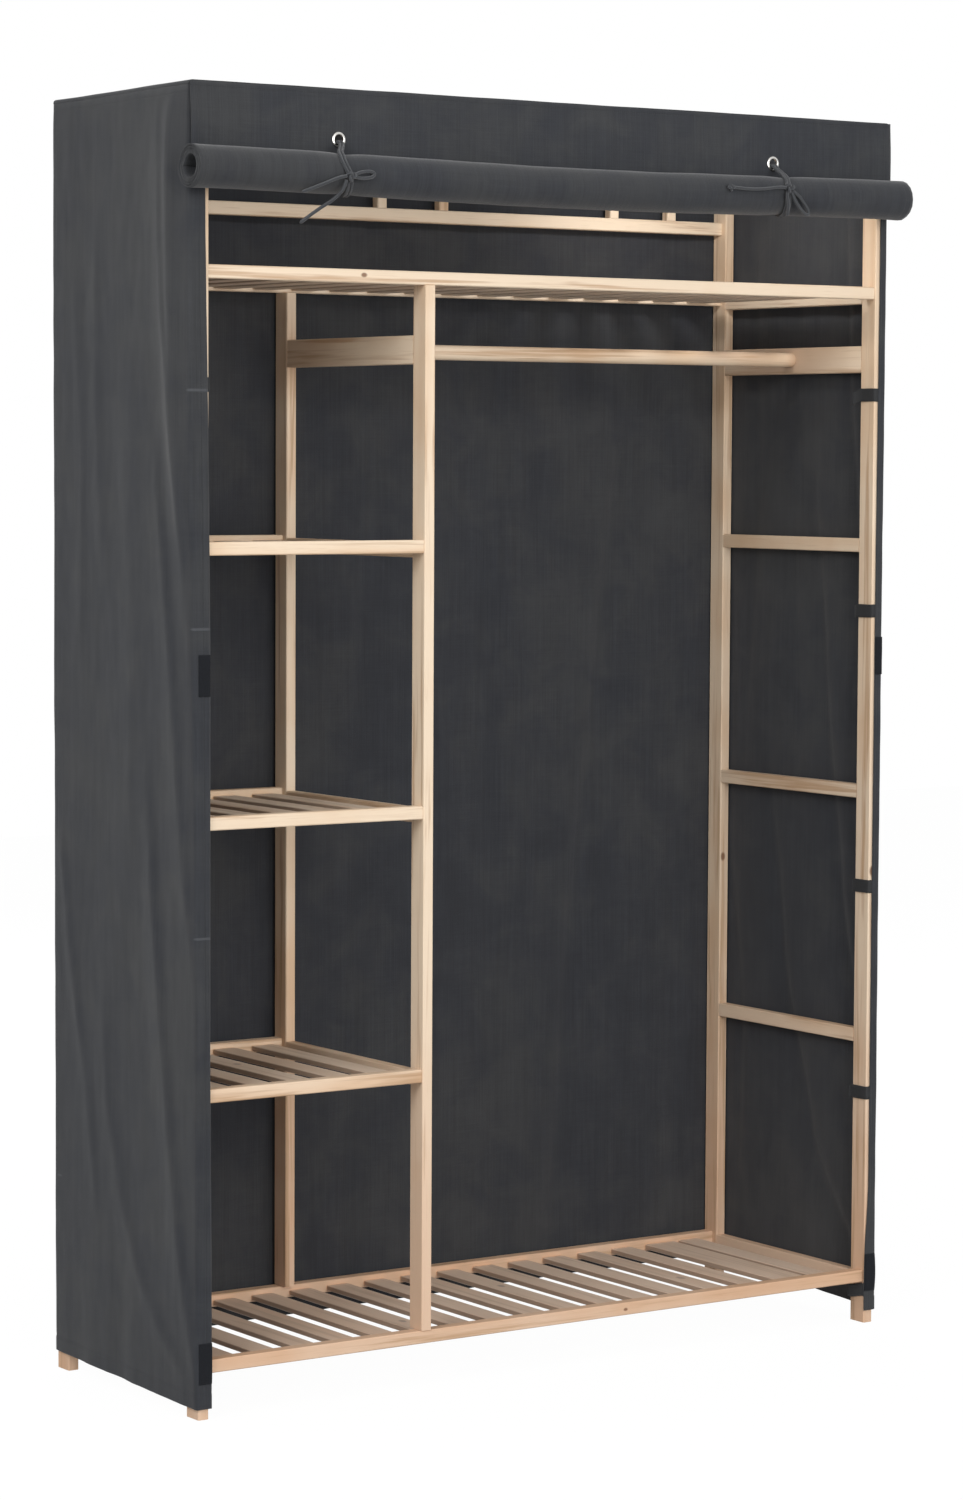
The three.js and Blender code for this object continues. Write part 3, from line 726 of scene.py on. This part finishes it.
sideFolds = {
    "left": [
        (11, 32, 34, [(-143, 1670), (-142, 1595), (-145, 1459), (-152, 1285), (-168, 1150)]),
        (3.8, 12, 34, [(-109, 1645), (-113, 1527), (-122, 1400), (-142, 1290), (-160, 1146), (-177, 1000)]),
        (5.2, 11, 36, [(-100, 1188), (-120, 1060), (-135, 930), (-145, 840), (-159, 720), (-177, 612)]),
        (6, 12, 40, [(-69, 800), (-81, 670), (-99, 516), (-118, 390), (-142, 242), (-184, 60)]),
        (3.6, 18, 34, [(52, 500), (42, 392), (10, 271), (-36, 172), (-90, 110), (-157, 50)]),
        (3.2, 12, 20, [(165, 720), (145, 600), (120, 480)]),
        (2.6, 14, 22, [(120, 500), (95, 380), (75, 250)]),
        (2.8, 22, 26, [(67, 1500), (68, 1287), (52, 1100)]),
        (2.4, 18, 24, [(120, 1420), (105, 1200), (112, 980)]),
        (3, 40, 45, [(-20, 1300), (-30, 1000), (-20, 700)]),
    ],
    "right": [
        (4, 10, 30, [(-146, 1670), (-140, 1500), (-150, 1300)]),
        (4.8, 12, 34, [(-90, 1620), (-105, 1350), (-130, 1100), (-170, 900)]),
        (5.6, 14, 38, [(-30, 1200), (-60, 900), (-100, 600), (-165, 330)]),
        (5.4, 15, 36, [(60, 750), (30, 500), (-40, 250), (-150, 60)]),
        (3.2, 20, 26, [(110, 1550), (95, 1200), (120, 850)]),
        (3.4, 14, 22, [(150, 620), (125, 400), (130, 180)]),
        (2.8, 30, 34, [(10, 1500), (0, 1250), (20, 1000)]),
    ],
}


def hemLines(hem, top):  # where the foot hem and the top seam are stitched
    return (hem - 0.0018, top - 0.010)


def flapReach(hand, height):  # how far the cloth comes round the front post
    own = sideSettings[hand]
    flare, top, bottom = own["flapFlare"]
    reach = between(own["flapTop"], own["flapBottom"], smoothStep(1.5, 0.9, height) ** 0.6)
    return reach + flare * smoothStep(top, bottom, height)


def sidePanel(name, side, hand):
    s, own = sideSettings, sideSettings[hand]
    radius = s["cornerRadius"]
    outer = frameHalf + s["clearance"]
    back, front = frameBack + s["clearance"], frameFront - s["clearance"]
    arc = radius * math.pi / 2
    run = back - front - 2 * radius
    sideStart = s["backReturn"] + arc
    sideEnd = sideStart + run
    flapStart = sideEnd + arc
    parts = [0, s["backReturn"], sideStart, sideEnd, flapStart, flapStart + s["flapRun"]]
    across = [0]
    for start, end, step in zip(parts, parts[1:], s["steps"]):
        across += evenStops(start, end, step)[1:]
    hem, full = s["hemDepth"], s["top"] - own["hemFront"]

    def place(along, up):
        share = min(1, max(0, (along - sideStart) / run))
        low = between(own["hemBack"], own["hemFront"], share)
        height = low + (s["top"] - low) * up / full
        bent = -lean(-outer, back - (along - s["backReturn"]), height) if side < 0 else 0
        if along < s["backReturn"]:
            x, y, facing = outer - radius - (s["backReturn"] - along), back, (0, 1)
        elif along < sideStart:
            turn = (along - s["backReturn"]) / radius
            facing = (math.sin(turn), math.cos(turn))
            x, y = outer - radius + radius * facing[0], back - radius + radius * facing[1]
        elif along <= sideEnd:
            x, y, facing = outer, back - radius - (along - sideStart), (1, 0)
        elif along < flapStart:
            turn = (along - sideEnd) / radius
            facing = (math.cos(turn), -math.sin(turn))
            x, y = outer - radius + radius * facing[0], front + radius + radius * facing[1]
        else:
            share = (along - flapStart) / s["flapRun"]
            x = outer - radius - (flapReach(hand, height) - radius) * share
            bent = bent * (1 - share)
            y, facing = front, (0, -1)
        rise = s["foldStrength"] * foldRise(sideFolds[hand], y - frameMiddle, height, s["foldSpread"])
        rise += s["slack"] * (1 + ripple(y * 5, height * 1.4, own["wave"], 3.0))
        rise *= facing[0] * smoothStep(0.0, 0.030, s["top"] - height)
        rise += s["crumple"] * ripple(y * 3, height, own["wave"] + 7, 22.0)
        rise += s["hemSwell"] * ((up < hem) - 0.6 * math.exp(-((up - hem) / 0.0022) ** 2))
        wavy = s["hemWave"] * smoothStep(0.25, 0.0, height) * ripple(y * 4, 1.7, own["wave"], 6.0)
        return (side * (x + bent + facing[0] * (rise + wavy)), y + facing[1] * rise, height)

    mesh = gridMesh(name, across, hemStops(hem, full, s["rowStep"]), place)
    if side > 0:
        mesh.flip_normals()
    marks = [(-outer, y + frameMiddle, z) for y, z in s["tacks"]] if side < 0 else ()
    seams = (s["backReturn"] - 0.002, sideStart + 0.007, flapStart + s["flapRun"] / 2)
    finish = clothFinish(name + "_cloth", seams, hemLines(hem, full), marks)
    piece = addPiece(name, mesh, finish, "root", clothSettings["thickness"])
    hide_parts("side_panel_" + hand)


sidePanel("cover_side_left", -1, "left")
sidePanel("cover_side_right", 1, "right")
print("side panels hung")


# Back panel: hangs from the top seam in soft upright folds

backSettings = {
    "top": 1.6731,
    "inset": 0.0024,
    "hemLeft": 0.024,
    "hemRight": 0.036,
    "hemDepth": 0.020,
    "hemSwell": 0.0009,
    "sideGap": 0.006,
    "steps": (0.0105, 0.014),
    "foldStrength": 1.5,
    "slack": 0.0012,
    "crumple": 0.0004,
    "flat": (1.107, 1.652),
}
backFolds = [
    (4.2, 26, 34, [(-440, 1660), (-455, 1000), (-475, 50)]),
    (3.6, 40, 30, [(-255, 1660), (-235, 1100), (-220, 50)]),
    (4.8, 30, 38, [(-45, 1660), (-60, 900), (-90, 50)]),
    (4, 38, 30, [(110, 1660), (135, 1000), (178, 50)]),
    (7.5, 22, 60, [(390, 1300), (340, 900), (290, 450), (265, 50)]),
    (3.4, 28, 30, [(465, 1660), (480, 50)]),
]


def backPanel():
    s = backSettings
    half = frameHalf - s["sideGap"]
    hem, full = s["hemDepth"], s["top"] - s["hemLeft"]

    def place(x, up):
        low = between(s["hemLeft"], s["hemRight"], (x + half) / (2 * half))
        height = low + (s["top"] - low) * up / full
        edge = smoothStep(0, 0.05, half - abs(x)) * smoothStep(0, 0.05, s["top"] - height)
        slack = s["slack"] * (1 + ripple(x * 3, height, 4.2, 3.0))
        rise = edge * (s["foldStrength"] * foldRise(backFolds, x, height) + slack)
        rise += s["crumple"] * ripple(x, height, 9.1, 20.0) + s["hemSwell"] * (up < hem)
        return (x, frameBack + s["inset"] + rise, height)

    step, rowStep = s["steps"]
    mesh = gridMesh("cover_back", evenStops(-half, half, step), hemStops(hem, full, rowStep), place)
    mesh.flip_normals()
    finish = clothFinish("cover_back_cloth", (0.006 - half, half - 0.006), hemLines(hem, full))
    piece = addPiece("cover_back", mesh, finish, "root", clothSettings["thickness"])
    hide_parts("back_panel")


backPanel()
print("back panel hung")


# Top panel: rests on the top rails and rungs, sags between them, and turns down over the sides and the back

topSettings = {
    "height": 1.6774,
    "radius": 0.0035,
    "corner": 0.0045,
    "turnDown": 0.0007,
    "overhang": 0.0024,
    "seam": 0.004,
    "sag": 0.004,
    "flat": (1.127, 0.386),
}


def topPanel():
    s = topSettings
    radius, corner = s["radius"], s["corner"]
    arc = radius * math.pi / 2
    halfX = frameHalf + s["overhang"]
    halfY = (frameBack - frameFront) / 2 + s["overhang"]

    def stopsFor(half, front):  # the front edge stays flat
        flat = half - radius
        edge = evenStops(flat, flat + arc, arc / 4)[1:] + [flat + arc + s["turnDown"]]
        start = [-half] if front else [-value for value in reversed(edge)]
        return start + evenStops(-flat, flat, 0.012) + edge

    def bend(value, half):  # a distance along the cloth to a place and a drop
        flat = half - radius
        past = abs(value) - flat
        if past <= 0:
            return value, 0
        sign = 1 if value > 0 else -1
        if past < arc:
            turn = past / radius
            return sign * (flat + radius * math.sin(turn)), radius * (1 - math.cos(turn))
        return sign * half, radius + past - arc

    def place(along, deep):
        x, dropX = bend(along, halfX)
        y, dropY = bend(deep, halfY) if deep > 0 else (deep, 0)
        pastX, pastY = abs(x) - halfX + corner, y - halfY + corner
        if pastX > 0 and pastY > 0:  # the back corners are rounded
            reach = math.hypot(pastX, pastY)
            shrink = min(1, max(pastX, pastY) / reach)
            x = math.copysign(halfX - corner + pastX * shrink, x)
            y = halfY - corner + pastY * shrink
        reach = max(0, 1 - (x / (frameHalf - 0.015)) ** 2) * max(0, 1 - (y / (halfY - 0.022)) ** 2)
        sag = s["sag"] * reach * (1 + 0.25 * ripple(x * 2, y * 3, 0.4, 2.0))
        drop = max(dropX, dropY)
        lift = 0.0005 * (1 + ripple(x * 3, y * 3, 5.5, 5.0)) * smoothStep(0, 0.004, radius - drop)
        level = s["height"] + lift - sag - drop
        return (x + lean(x, y + frameMiddle, level), y + frameMiddle, level)

    mesh = gridMesh("cover_top", stopsFor(halfX, False), stopsFor(halfY, True), place)
    seam = halfX - radius - s["seam"]
    finish = clothFinish("cover_top_cloth", (seam, -seam), (halfY - radius - s["seam"],))
    piece = addPiece("cover_top", mesh, finish, "root", clothSettings["thickness"])
    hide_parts("top_panel")


topPanel()
print("top panel laid")


# Front curtain: hangs from the front edge of the top as a valance, and winds up into a roll on its outside

rollSettings = {
    "flat": (1.14, 1.62),
    "top": 0.0012,
    "innerRadius": 0.0150,
    "pitch": 0.00101,
    "turnSteps": 18,
    "eyeletHole": 0.0072,
    "holeReaches": (0.0025, 0.0080),  # cloth nearer the eyelet's middle is cut out, or drawn to the hole
    "rings": (0.0045, 0.0090, 0.0135),
    "pinch": 0.0022,
    "flare": 0.0012,
    "sideHem": 0.012,
    "hemSwell": 0.0006,
    "overhang": 0.0034,
    "thickness": 0.0008,
    "wave": 0.0030,
    "pinchPlace": (0.010, 0.017),  # how far left of the eyelet, and how wide
}


# Distances down the cloth. A row is the distance, then for the hanging part 0, the height over the roll's
# middle and 0, and for the roll its radius there, the angle and the count of turns.
def rollTable():
    s, c = rollSettings, curtainSettings
    radius = c["rollRadius"] - c["stitched"]
    drop = frameTop + s["top"] - rollLevel
    hole = drop + rollLevel - eyeletLevel
    stops = [0, 0.003, 0.008, 0.020, 0.034, hole, hole + 0.020, drop - 0.019, drop - 0.010]
    stops += [hole + hand * step for hand in (-1, 1) for step in s["rings"]]
    table = [(stop, 0.0, drop - stop, 0.0) for stop in sorted(stops)]
    steps = math.ceil((radius - s["innerRadius"]) / s["pitch"]) * s["turnSteps"]
    stepTurn = 2 * math.pi / s["turnSteps"]
    run = drop
    for k in range(steps + 1):
        here = radius - s["pitch"] * k / s["turnSteps"]
        if k:
            run += (here + s["pitch"] / s["turnSteps"] / 2) * stepTurn
        table.append((run, here, stepTurn * k, k / s["turnSteps"]))
    return table, len(stops)


def curtainStops():  # stations across the curtain, from -1 to 1, closer together round the eyelets
    s, half = rollSettings, frameHalf + rollSettings["overhang"]
    hem, room = s["sideHem"], 0.006
    steps = [0, *s["rings"], *[-step for step in s["rings"]]]
    close = [side * eyeletSpread + step for side in (-1, 1) for step in steps]
    close += [side * (half - step) for side in (-1, 1) for step in (0.004, hem - 0.001, hem + 0.001)]
    for x in evenStops(-half, half, 0.017):
        clear = abs(abs(x) - eyeletSpread) > max(s["rings"]) + room
        if clear and (abs(x) > half - 0.001 or abs(x) < half - hem - room):
            close.append(x)
    return sorted(x / half for x in close)


def frontCurtain():
    s, c = rollSettings, curtainSettings
    table, hanging = rollTable()
    rows = {run: (number, *place) for number, (run, *place) in enumerate(table)}
    half = frameHalf + s["overhang"]
    hemEdge = half - s["sideHem"]
    drop = frameTop + s["top"] - rollLevel

    def rolledX(station):
        return station * c["rollHalf"] + c["rollShift"]

    def place(station, run):
        number, radius, turn, turns = rows[run]
        hem = s["hemSwell"] * smoothStep(hemEdge - 0.0006, hemEdge + 0.0006, abs(station) * half)
        if number < hanging:
            share = smoothStep(drop - 0.024, drop, run)
            x = between(station * half, rolledX(station), share)
            level = rollLevel + turn - smoothStep(0.03, drop, run) * rollDip(x)
            clear = min(math.hypot(x - side * eyeletSpread, level - eyeletLevel) for side in (-1, 1))
            wave = s["wave"] * max(0, 0.5 + ripple(x * 2.2, level * 1.5, 3.3, 3.0))
            y = curtainPlane - wave * smoothStep(0, 0.05, run) * smoothStep(0.014, 0.05, clear) - hem
            return (x + lean(x, y, level) * (1 - share), y, level)
        x = rolledX(station)
        ends = smoothStep(0.94, 1.0, abs(station))
        x += (0.0025 * ripple(turns * 0.8, 3.1 * station, 0.5, 1.3) + 0.0012 * (turns % 1)) * ends
        left, wide = s["pinchPlace"]
        pinch = sum(math.exp(-((x - side * eyeletSpread + left) / wide) ** 2) for side in (-1, 1))
        soft = 0.0007 * ripple(x * 4, math.cos(turn) * 0.3, math.sin(turn) * 0.3, 3.0)
        soft += 0.0004 * ripple(x * 2, turns * 0.12, 7.7, 9.0)
        flare = s["flare"] * ends * (0.5 + ripple(station, turn, 1, 1))
        swell = soft * smoothStep(0, 0.4, turns) - s["pinch"] * pinch + flare
        radius += swell * smoothStep(0, 0.03, radius) * smoothStep(0, 0.35, turns)
        y = rollMiddle + radius * math.cos(turn)
        return (x, y, rollLevel - rollDip(x) - radius * math.sin(turn))

    def cutHoles(shape):
        cut, drawn = s["holeReaches"]
        for side in (-1, 1):
            middle = Vector((side * eyeletSpread, curtainPlane, eyeletLevel))
            inside = [vert for vert in shape.verts if (vert.co - middle).length < cut]
            bmesh.ops.delete(shape, geom=inside, context="VERTS")
            for vert in shape.verts:
                away = vert.co - middle
                if away.length < drawn:
                    vert.co = middle + away.normalized() * s["eyeletHole"]

    mesh = gridMesh("front_curtain_cloth", curtainStops(), list(rows), place, cutHoles)
    for loop in mesh.uv_layers[0].data:
        loop.uv = (loop.uv.x * half, loop.uv.y)
    finish = clothFinish("front_curtain_finish", (-hemEdge - 0.0015, hemEdge + 0.0015), (0.006,))
    piece = addPiece("front_curtain_cloth", mesh, finish, "curtain", s["thickness"])
    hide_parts("front_curtain")


frontCurtain()
print("curtain rolled")


# Eyelets: pressed metal rings with a rolled rim on both faces of the valance

eyeletSettings = {
    "hole": 0.0062,
    "rim": 0.0102,
    "rise": 0.0018,
    "half": 0.0006,
    "sides": 48,
    "colour": (206, 204, 200),
    "scuffed": (178, 174, 168),
}


def eyeletFinish():
    s = eyeletSettings
    finish = Finish("eyelet_metal")
    place = finish.coordinates("Object")
    scuff = finish.noise(place, 700, detail=3, roughness=0.6)
    brushed = finish.noise(finish.scaled(place, (1.0, 9.0, 1.0)), 260, detail=2)
    colour = finish.mix(finish.ease(scuff, 0.45, 0.8), tone(*s["colour"]), tone(*s["scuffed"]))
    return finish.surface(colour, 0.16 + scuff * 0.16, brushed, 0.00006, Metallic=1.0)


def makeEyelets():
    s = eyeletSettings
    finish = eyeletFinish()
    hole, rim, half, rise = s["hole"], s["rim"], s["half"], s["rise"]
    section = [(hole, -half), (hole + 0.0003, -rise * 0.8), (hole + 0.0011, -rise)]
    section += [(hole + 0.0022, -rise * 0.94), (rim - 0.0007, -rise * 0.62), (rim, -half - 0.0002)]
    section += [(rim - 0.0003, -half), (hole + 0.0009, -half)]
    section += [(x, -y) for x, y in reversed(section)]
    for hand, side in hands:
        middle = Vector((side * eyeletSpread, curtainPlane, eyeletLevel))
        shape = bmesh.new()
        verts = [shape.verts.new(middle + Vector((x, y, 0))) for x, y in section]
        edges = [shape.edges.new(pair) for pair in zip(verts, verts[1:] + verts[:1])]
        bmesh.ops.spin(shape, geom=verts + edges, cent=middle, axis=(0, 1, 0), angle=2 * math.pi,
                       steps=s["sides"], use_merge=True)
        bmesh.ops.remove_doubles(shape, verts=shape.verts, dist=1e-6)
        bmesh.ops.recalc_face_normals(shape, faces=shape.faces)
        mesh = meshFrom(shape, "eyelet_ring_" + hand)
        ring = addPiece("eyelet_ring_" + hand, mesh, finish, "curtain")
        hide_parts("eyelet_" + hand)


makeEyelets()
print("eyelets pressed")


# Straps: webbing wound round the front posts, its loose end lapped over and lifting a little

strapSettings = {
    "height": 0.018,
    "thickness": 0.0010,
    "gap": 0.0009,
    "corner": 0.0022,
    "colour": (33, 34, 36),
    "footLevel": 0.0475,  # the lowest one, under the base rail
    "footSlope": -0.0055,
    "ribs": (0.0016, 0.0022),
    "droop": -0.6,
    # Loose end and tilt, from the foot up. The left foot has none
    "left": [None, (0.001, -0.02), (0.001, 0.04), (0.001, -0.03), (0.001, 0.02)],
    "right": [(0.001, 0.02), (0.003, 0.03), (0.0015, -0.02), (0.003, 0.07), (0.009, -0.05)],
}


def webbingFinish():
    finish = Finish("black_webbing")
    u, v, _ = finish.parts(finish.coordinates("UV"))
    waves = [(way * (2 * math.pi / pitch)).maths("SINE") for way, pitch in zip((u, v), strapSettings["ribs"])]
    rib, cross = [(wave + 1) * 0.5 for wave in waves]
    lint = finish.noise(finish.coordinates("Object"), 900, detail=3)
    amount = finish.ease(rib * 0.4 + cross * 0.2 + lint * 0.4, 0.2, 0.9)
    colour = vary(finish, tone(*strapSettings["colour"]), amount, 0.3)
    height = rib * 0.6 + cross * 0.3 + lint * 0.3
    return finish.surface(colour, 0.74 + lint * 0.12, height, 0.0003, Sheen_Weight=0.05)


def makeStraps():
    s = strapSettings
    finish = webbingFinish()
    for hand, side in hands:
        low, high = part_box("post_front_" + hand)
        edge = high.x if side < 0 else low.x  # the edge of the post beside the opening
        near, far = -s["gap"], high.x - low.x + s["gap"]  # the band's sides, measured outwards from that edge
        front, back = low.y - s["gap"], high.y + s["gap"]
        for number, row in enumerate(s[hand]):
            if not row:
                continue
            key = f"{hand}_{number}"
            middle = middleOf("strap_" + key)[2] if number else s["footLevel"]
            loose, tilt = row
            c = s["corner"]
            lap = near - 0.0014
            way = [
                (near, front + 0.012), (near, back - c), (near + c * 0.3, back - c * 0.3), (near + c, back),
                (far - c, back), (far - c * 0.3, back - c * 0.3), (far, back - c),
                (far, front + c), (far - c * 0.3, front + c * 0.3), (far - c, front),
                (near + c, front), (near + c * 0.3, front + c * 0.3), (near, front + c),
                (near - 0.0008, front + 0.010), (lap, back - 0.006),
                (lap - loose * 0.25, back + loose * 0.15), (lap - loose * 0.6, back + loose * 0.75),
            ]
            line = smoothLine([(edge + side * out, y, 0) for out, y in way], 0.0016)
            runs = [0]
            for a, b in zip(line, line[1:]):
                runs.append(runs[-1] + (b - a).length)
            spots = dict(zip(runs, line))
            total = runs[-1]

            def place(run, up):
                point = spots[run]
                droop = s["droop"] * loose * smoothStep(total - loose * 1.4, total, run)
                slope = 0 if number else s["footSlope"] * smoothStep(front, back, point.y)
                return (point.x, point.y, middle + up + tilt * (point.x - edge) + droop + slope)

            mesh = gridMesh("strap", runs, evenStops(-s["height"] / 2, s["height"] / 2, 0.003), place)
            piece = addPiece("webbing_strap_" + key, mesh, finish, "root", s["thickness"])
            if number:
                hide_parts("strap_" + key)


makeStraps()
print("straps wound")


# Touch-and-close patches sewn on the flaps

patchSettings = {
    "height": 0.052,
    "thickness": 0.0014,
    "heightShares": (0.043, 0.562),
    "inset": 0.0010,
    "narrower": 0.0012,
    "lift": 0.0012,
    "edge": (0.0006, 0.0015),  # how far the edge is pressed in, and over what width
    "bulge": {"left": 0.0004, "right": 0.0016},
    "colour": (20, 22, 27),
}


def patchFinish():
    finish = Finish("black_hook_patch")
    place = finish.coordinates("Object")
    hooks = finish.node("ShaderNodeTexVoronoi", sockets={"Vector": place, "Scale": 900})
    lint = finish.noise(place, 260, detail=3)
    amount = finish.ease(hooks * 0.5 + lint * 0.5, 0.2, 0.8)
    colour = vary(finish, tone(*patchSettings["colour"]), amount, 0.35)
    return finish.surface(colour, 0.8 + lint * 0.1, hooks + lint * 0.3, 0.0004, Sheen_Weight=0.05,
                          Specular_IOR_Level=0.2)


def makePatches():
    s = patchSettings
    finish = patchFinish()
    front = frameFront - sideSettings["clearance"] - s["lift"]
    for hand, side in hands:
        outer = frameHalf + sideSettings["clearance"] - s["inset"]
        for number, share in enumerate(s["heightShares"], start=1):
            middle = share * frameTop
            inner = outer - flapReach(hand, middle) + s["narrower"]

            def place(x, up):
                inside = min(outer - x, x - inner, s["height"] / 2 - abs(up))
                bulge = (number == 1) * s["bulge"][hand] * math.cos(math.pi * up / s["height"])
                pressed, width = s["edge"]
                y = front - bulge + pressed * smoothStep(width, 0, inside)
                return (side * x, y + 0.0003 * ripple(x * 9, up * 9, number, 6.0), middle + up)

            across = evenStops(inner, outer, 0.0012)
            mesh = gridMesh("patch", across, evenStops(-s["height"] / 2, s["height"] / 2, 0.0013), place)
            addPiece(f"hook_patch_{hand}_{number}", mesh, finish, "root", s["thickness"])


makePatches()
print("patches sewn")


# Floor and light: a pale floor that keeps a faint shadow, soft light from the left front

stageSettings = {
    "floorSize": 14,
    "floor": 0.42,
    "seenWhite": 1.08,
    "seenShare": 0.90,
    "ambient": 0.46,
}
lampSettings = {  # place, aim, size and power
    "key": ((-4.4, -2.0, 3.2), (0, 0, 0.9), (2.6, 2.6), 108),
    "fill": ((-0.4, -5.2, 1.9), (0, 0, 0.9), (3.4, 3.0), 152),
    "rear": ((1.5, 4.0, 3.0), (0, 0, 1.0), (3.0, 3.0), 60),
    "hat": ((0, -0.09, 1.64), (0, 0.20, 1.50), (1.0, 0.04), 0.6),
    "corner": ((0.30, -0.07, 1.62), (0.56, 0.10, 1.48), (0.20, 0.04), 0.6),
}


def backgroundShare(finish):
    path = finish.node("ShaderNodeLightPath")
    seen = path.maths("MAXIMUM", path.other("Is Glossy Ray"))
    return seen.maths("MAXIMUM", path.other("Is Transmission Ray"))


def makeFloor():
    s = stageSettings
    shape = bmesh.new()
    bmesh.ops.create_grid(shape, x_segments=2, y_segments=2, size=s["floorSize"] / 2)
    mesh = meshFrom(shape, "floor")
    finish = Finish("pale_floor")
    grey, white = [(value, value, value, 1) for value in (s["floor"], s["seenWhite"])]
    matt = finish.node("ShaderNodeBsdfDiffuse", sockets={"Color": grey})
    glow = finish.node("ShaderNodeEmission", sockets={"Color": white, "Strength": 1.0})
    factor = backgroundShare(finish) * s["seenShare"]
    both = finish.node("ShaderNodeMixShader", sockets={0: factor, 1: matt, 2: glow})
    mesh.materials.append(finish.show(both))
    floor = bpy.data.objects.new("floor", mesh)
    scene.collection.objects.link(floor)


def makeWorld():
    studio = Finish("studio", bpy.data.worlds)
    ambient = stageSettings["ambient"]
    strength = backgroundShare(studio) * (1 - ambient) + ambient
    light = studio.node("ShaderNodeBackground", sockets={"Color": (1, 1, 1, 1), "Strength": strength})
    scene.world = studio.show(light, "ShaderNodeOutputWorld")


def makeLamps():
    for name, (place, aim, size, power) in lampSettings.items():
        data = bpy.data.lights.new(name, "AREA")
        data.shape = "RECTANGLE"
        data.size, data.size_y = size
        data.energy = power
        lamp = bpy.data.objects.new(name, data)
        turn = (Vector(aim) - Vector(place)).to_track_quat("-Z", "Y")
        lamp.matrix_world = Matrix.Translation(place) @ turn.to_matrix().to_4x4()
        lamp.visible_camera = False
        scene.collection.objects.link(lamp)


makeFloor()
makeWorld()
makeLamps()
print("floor and light set")
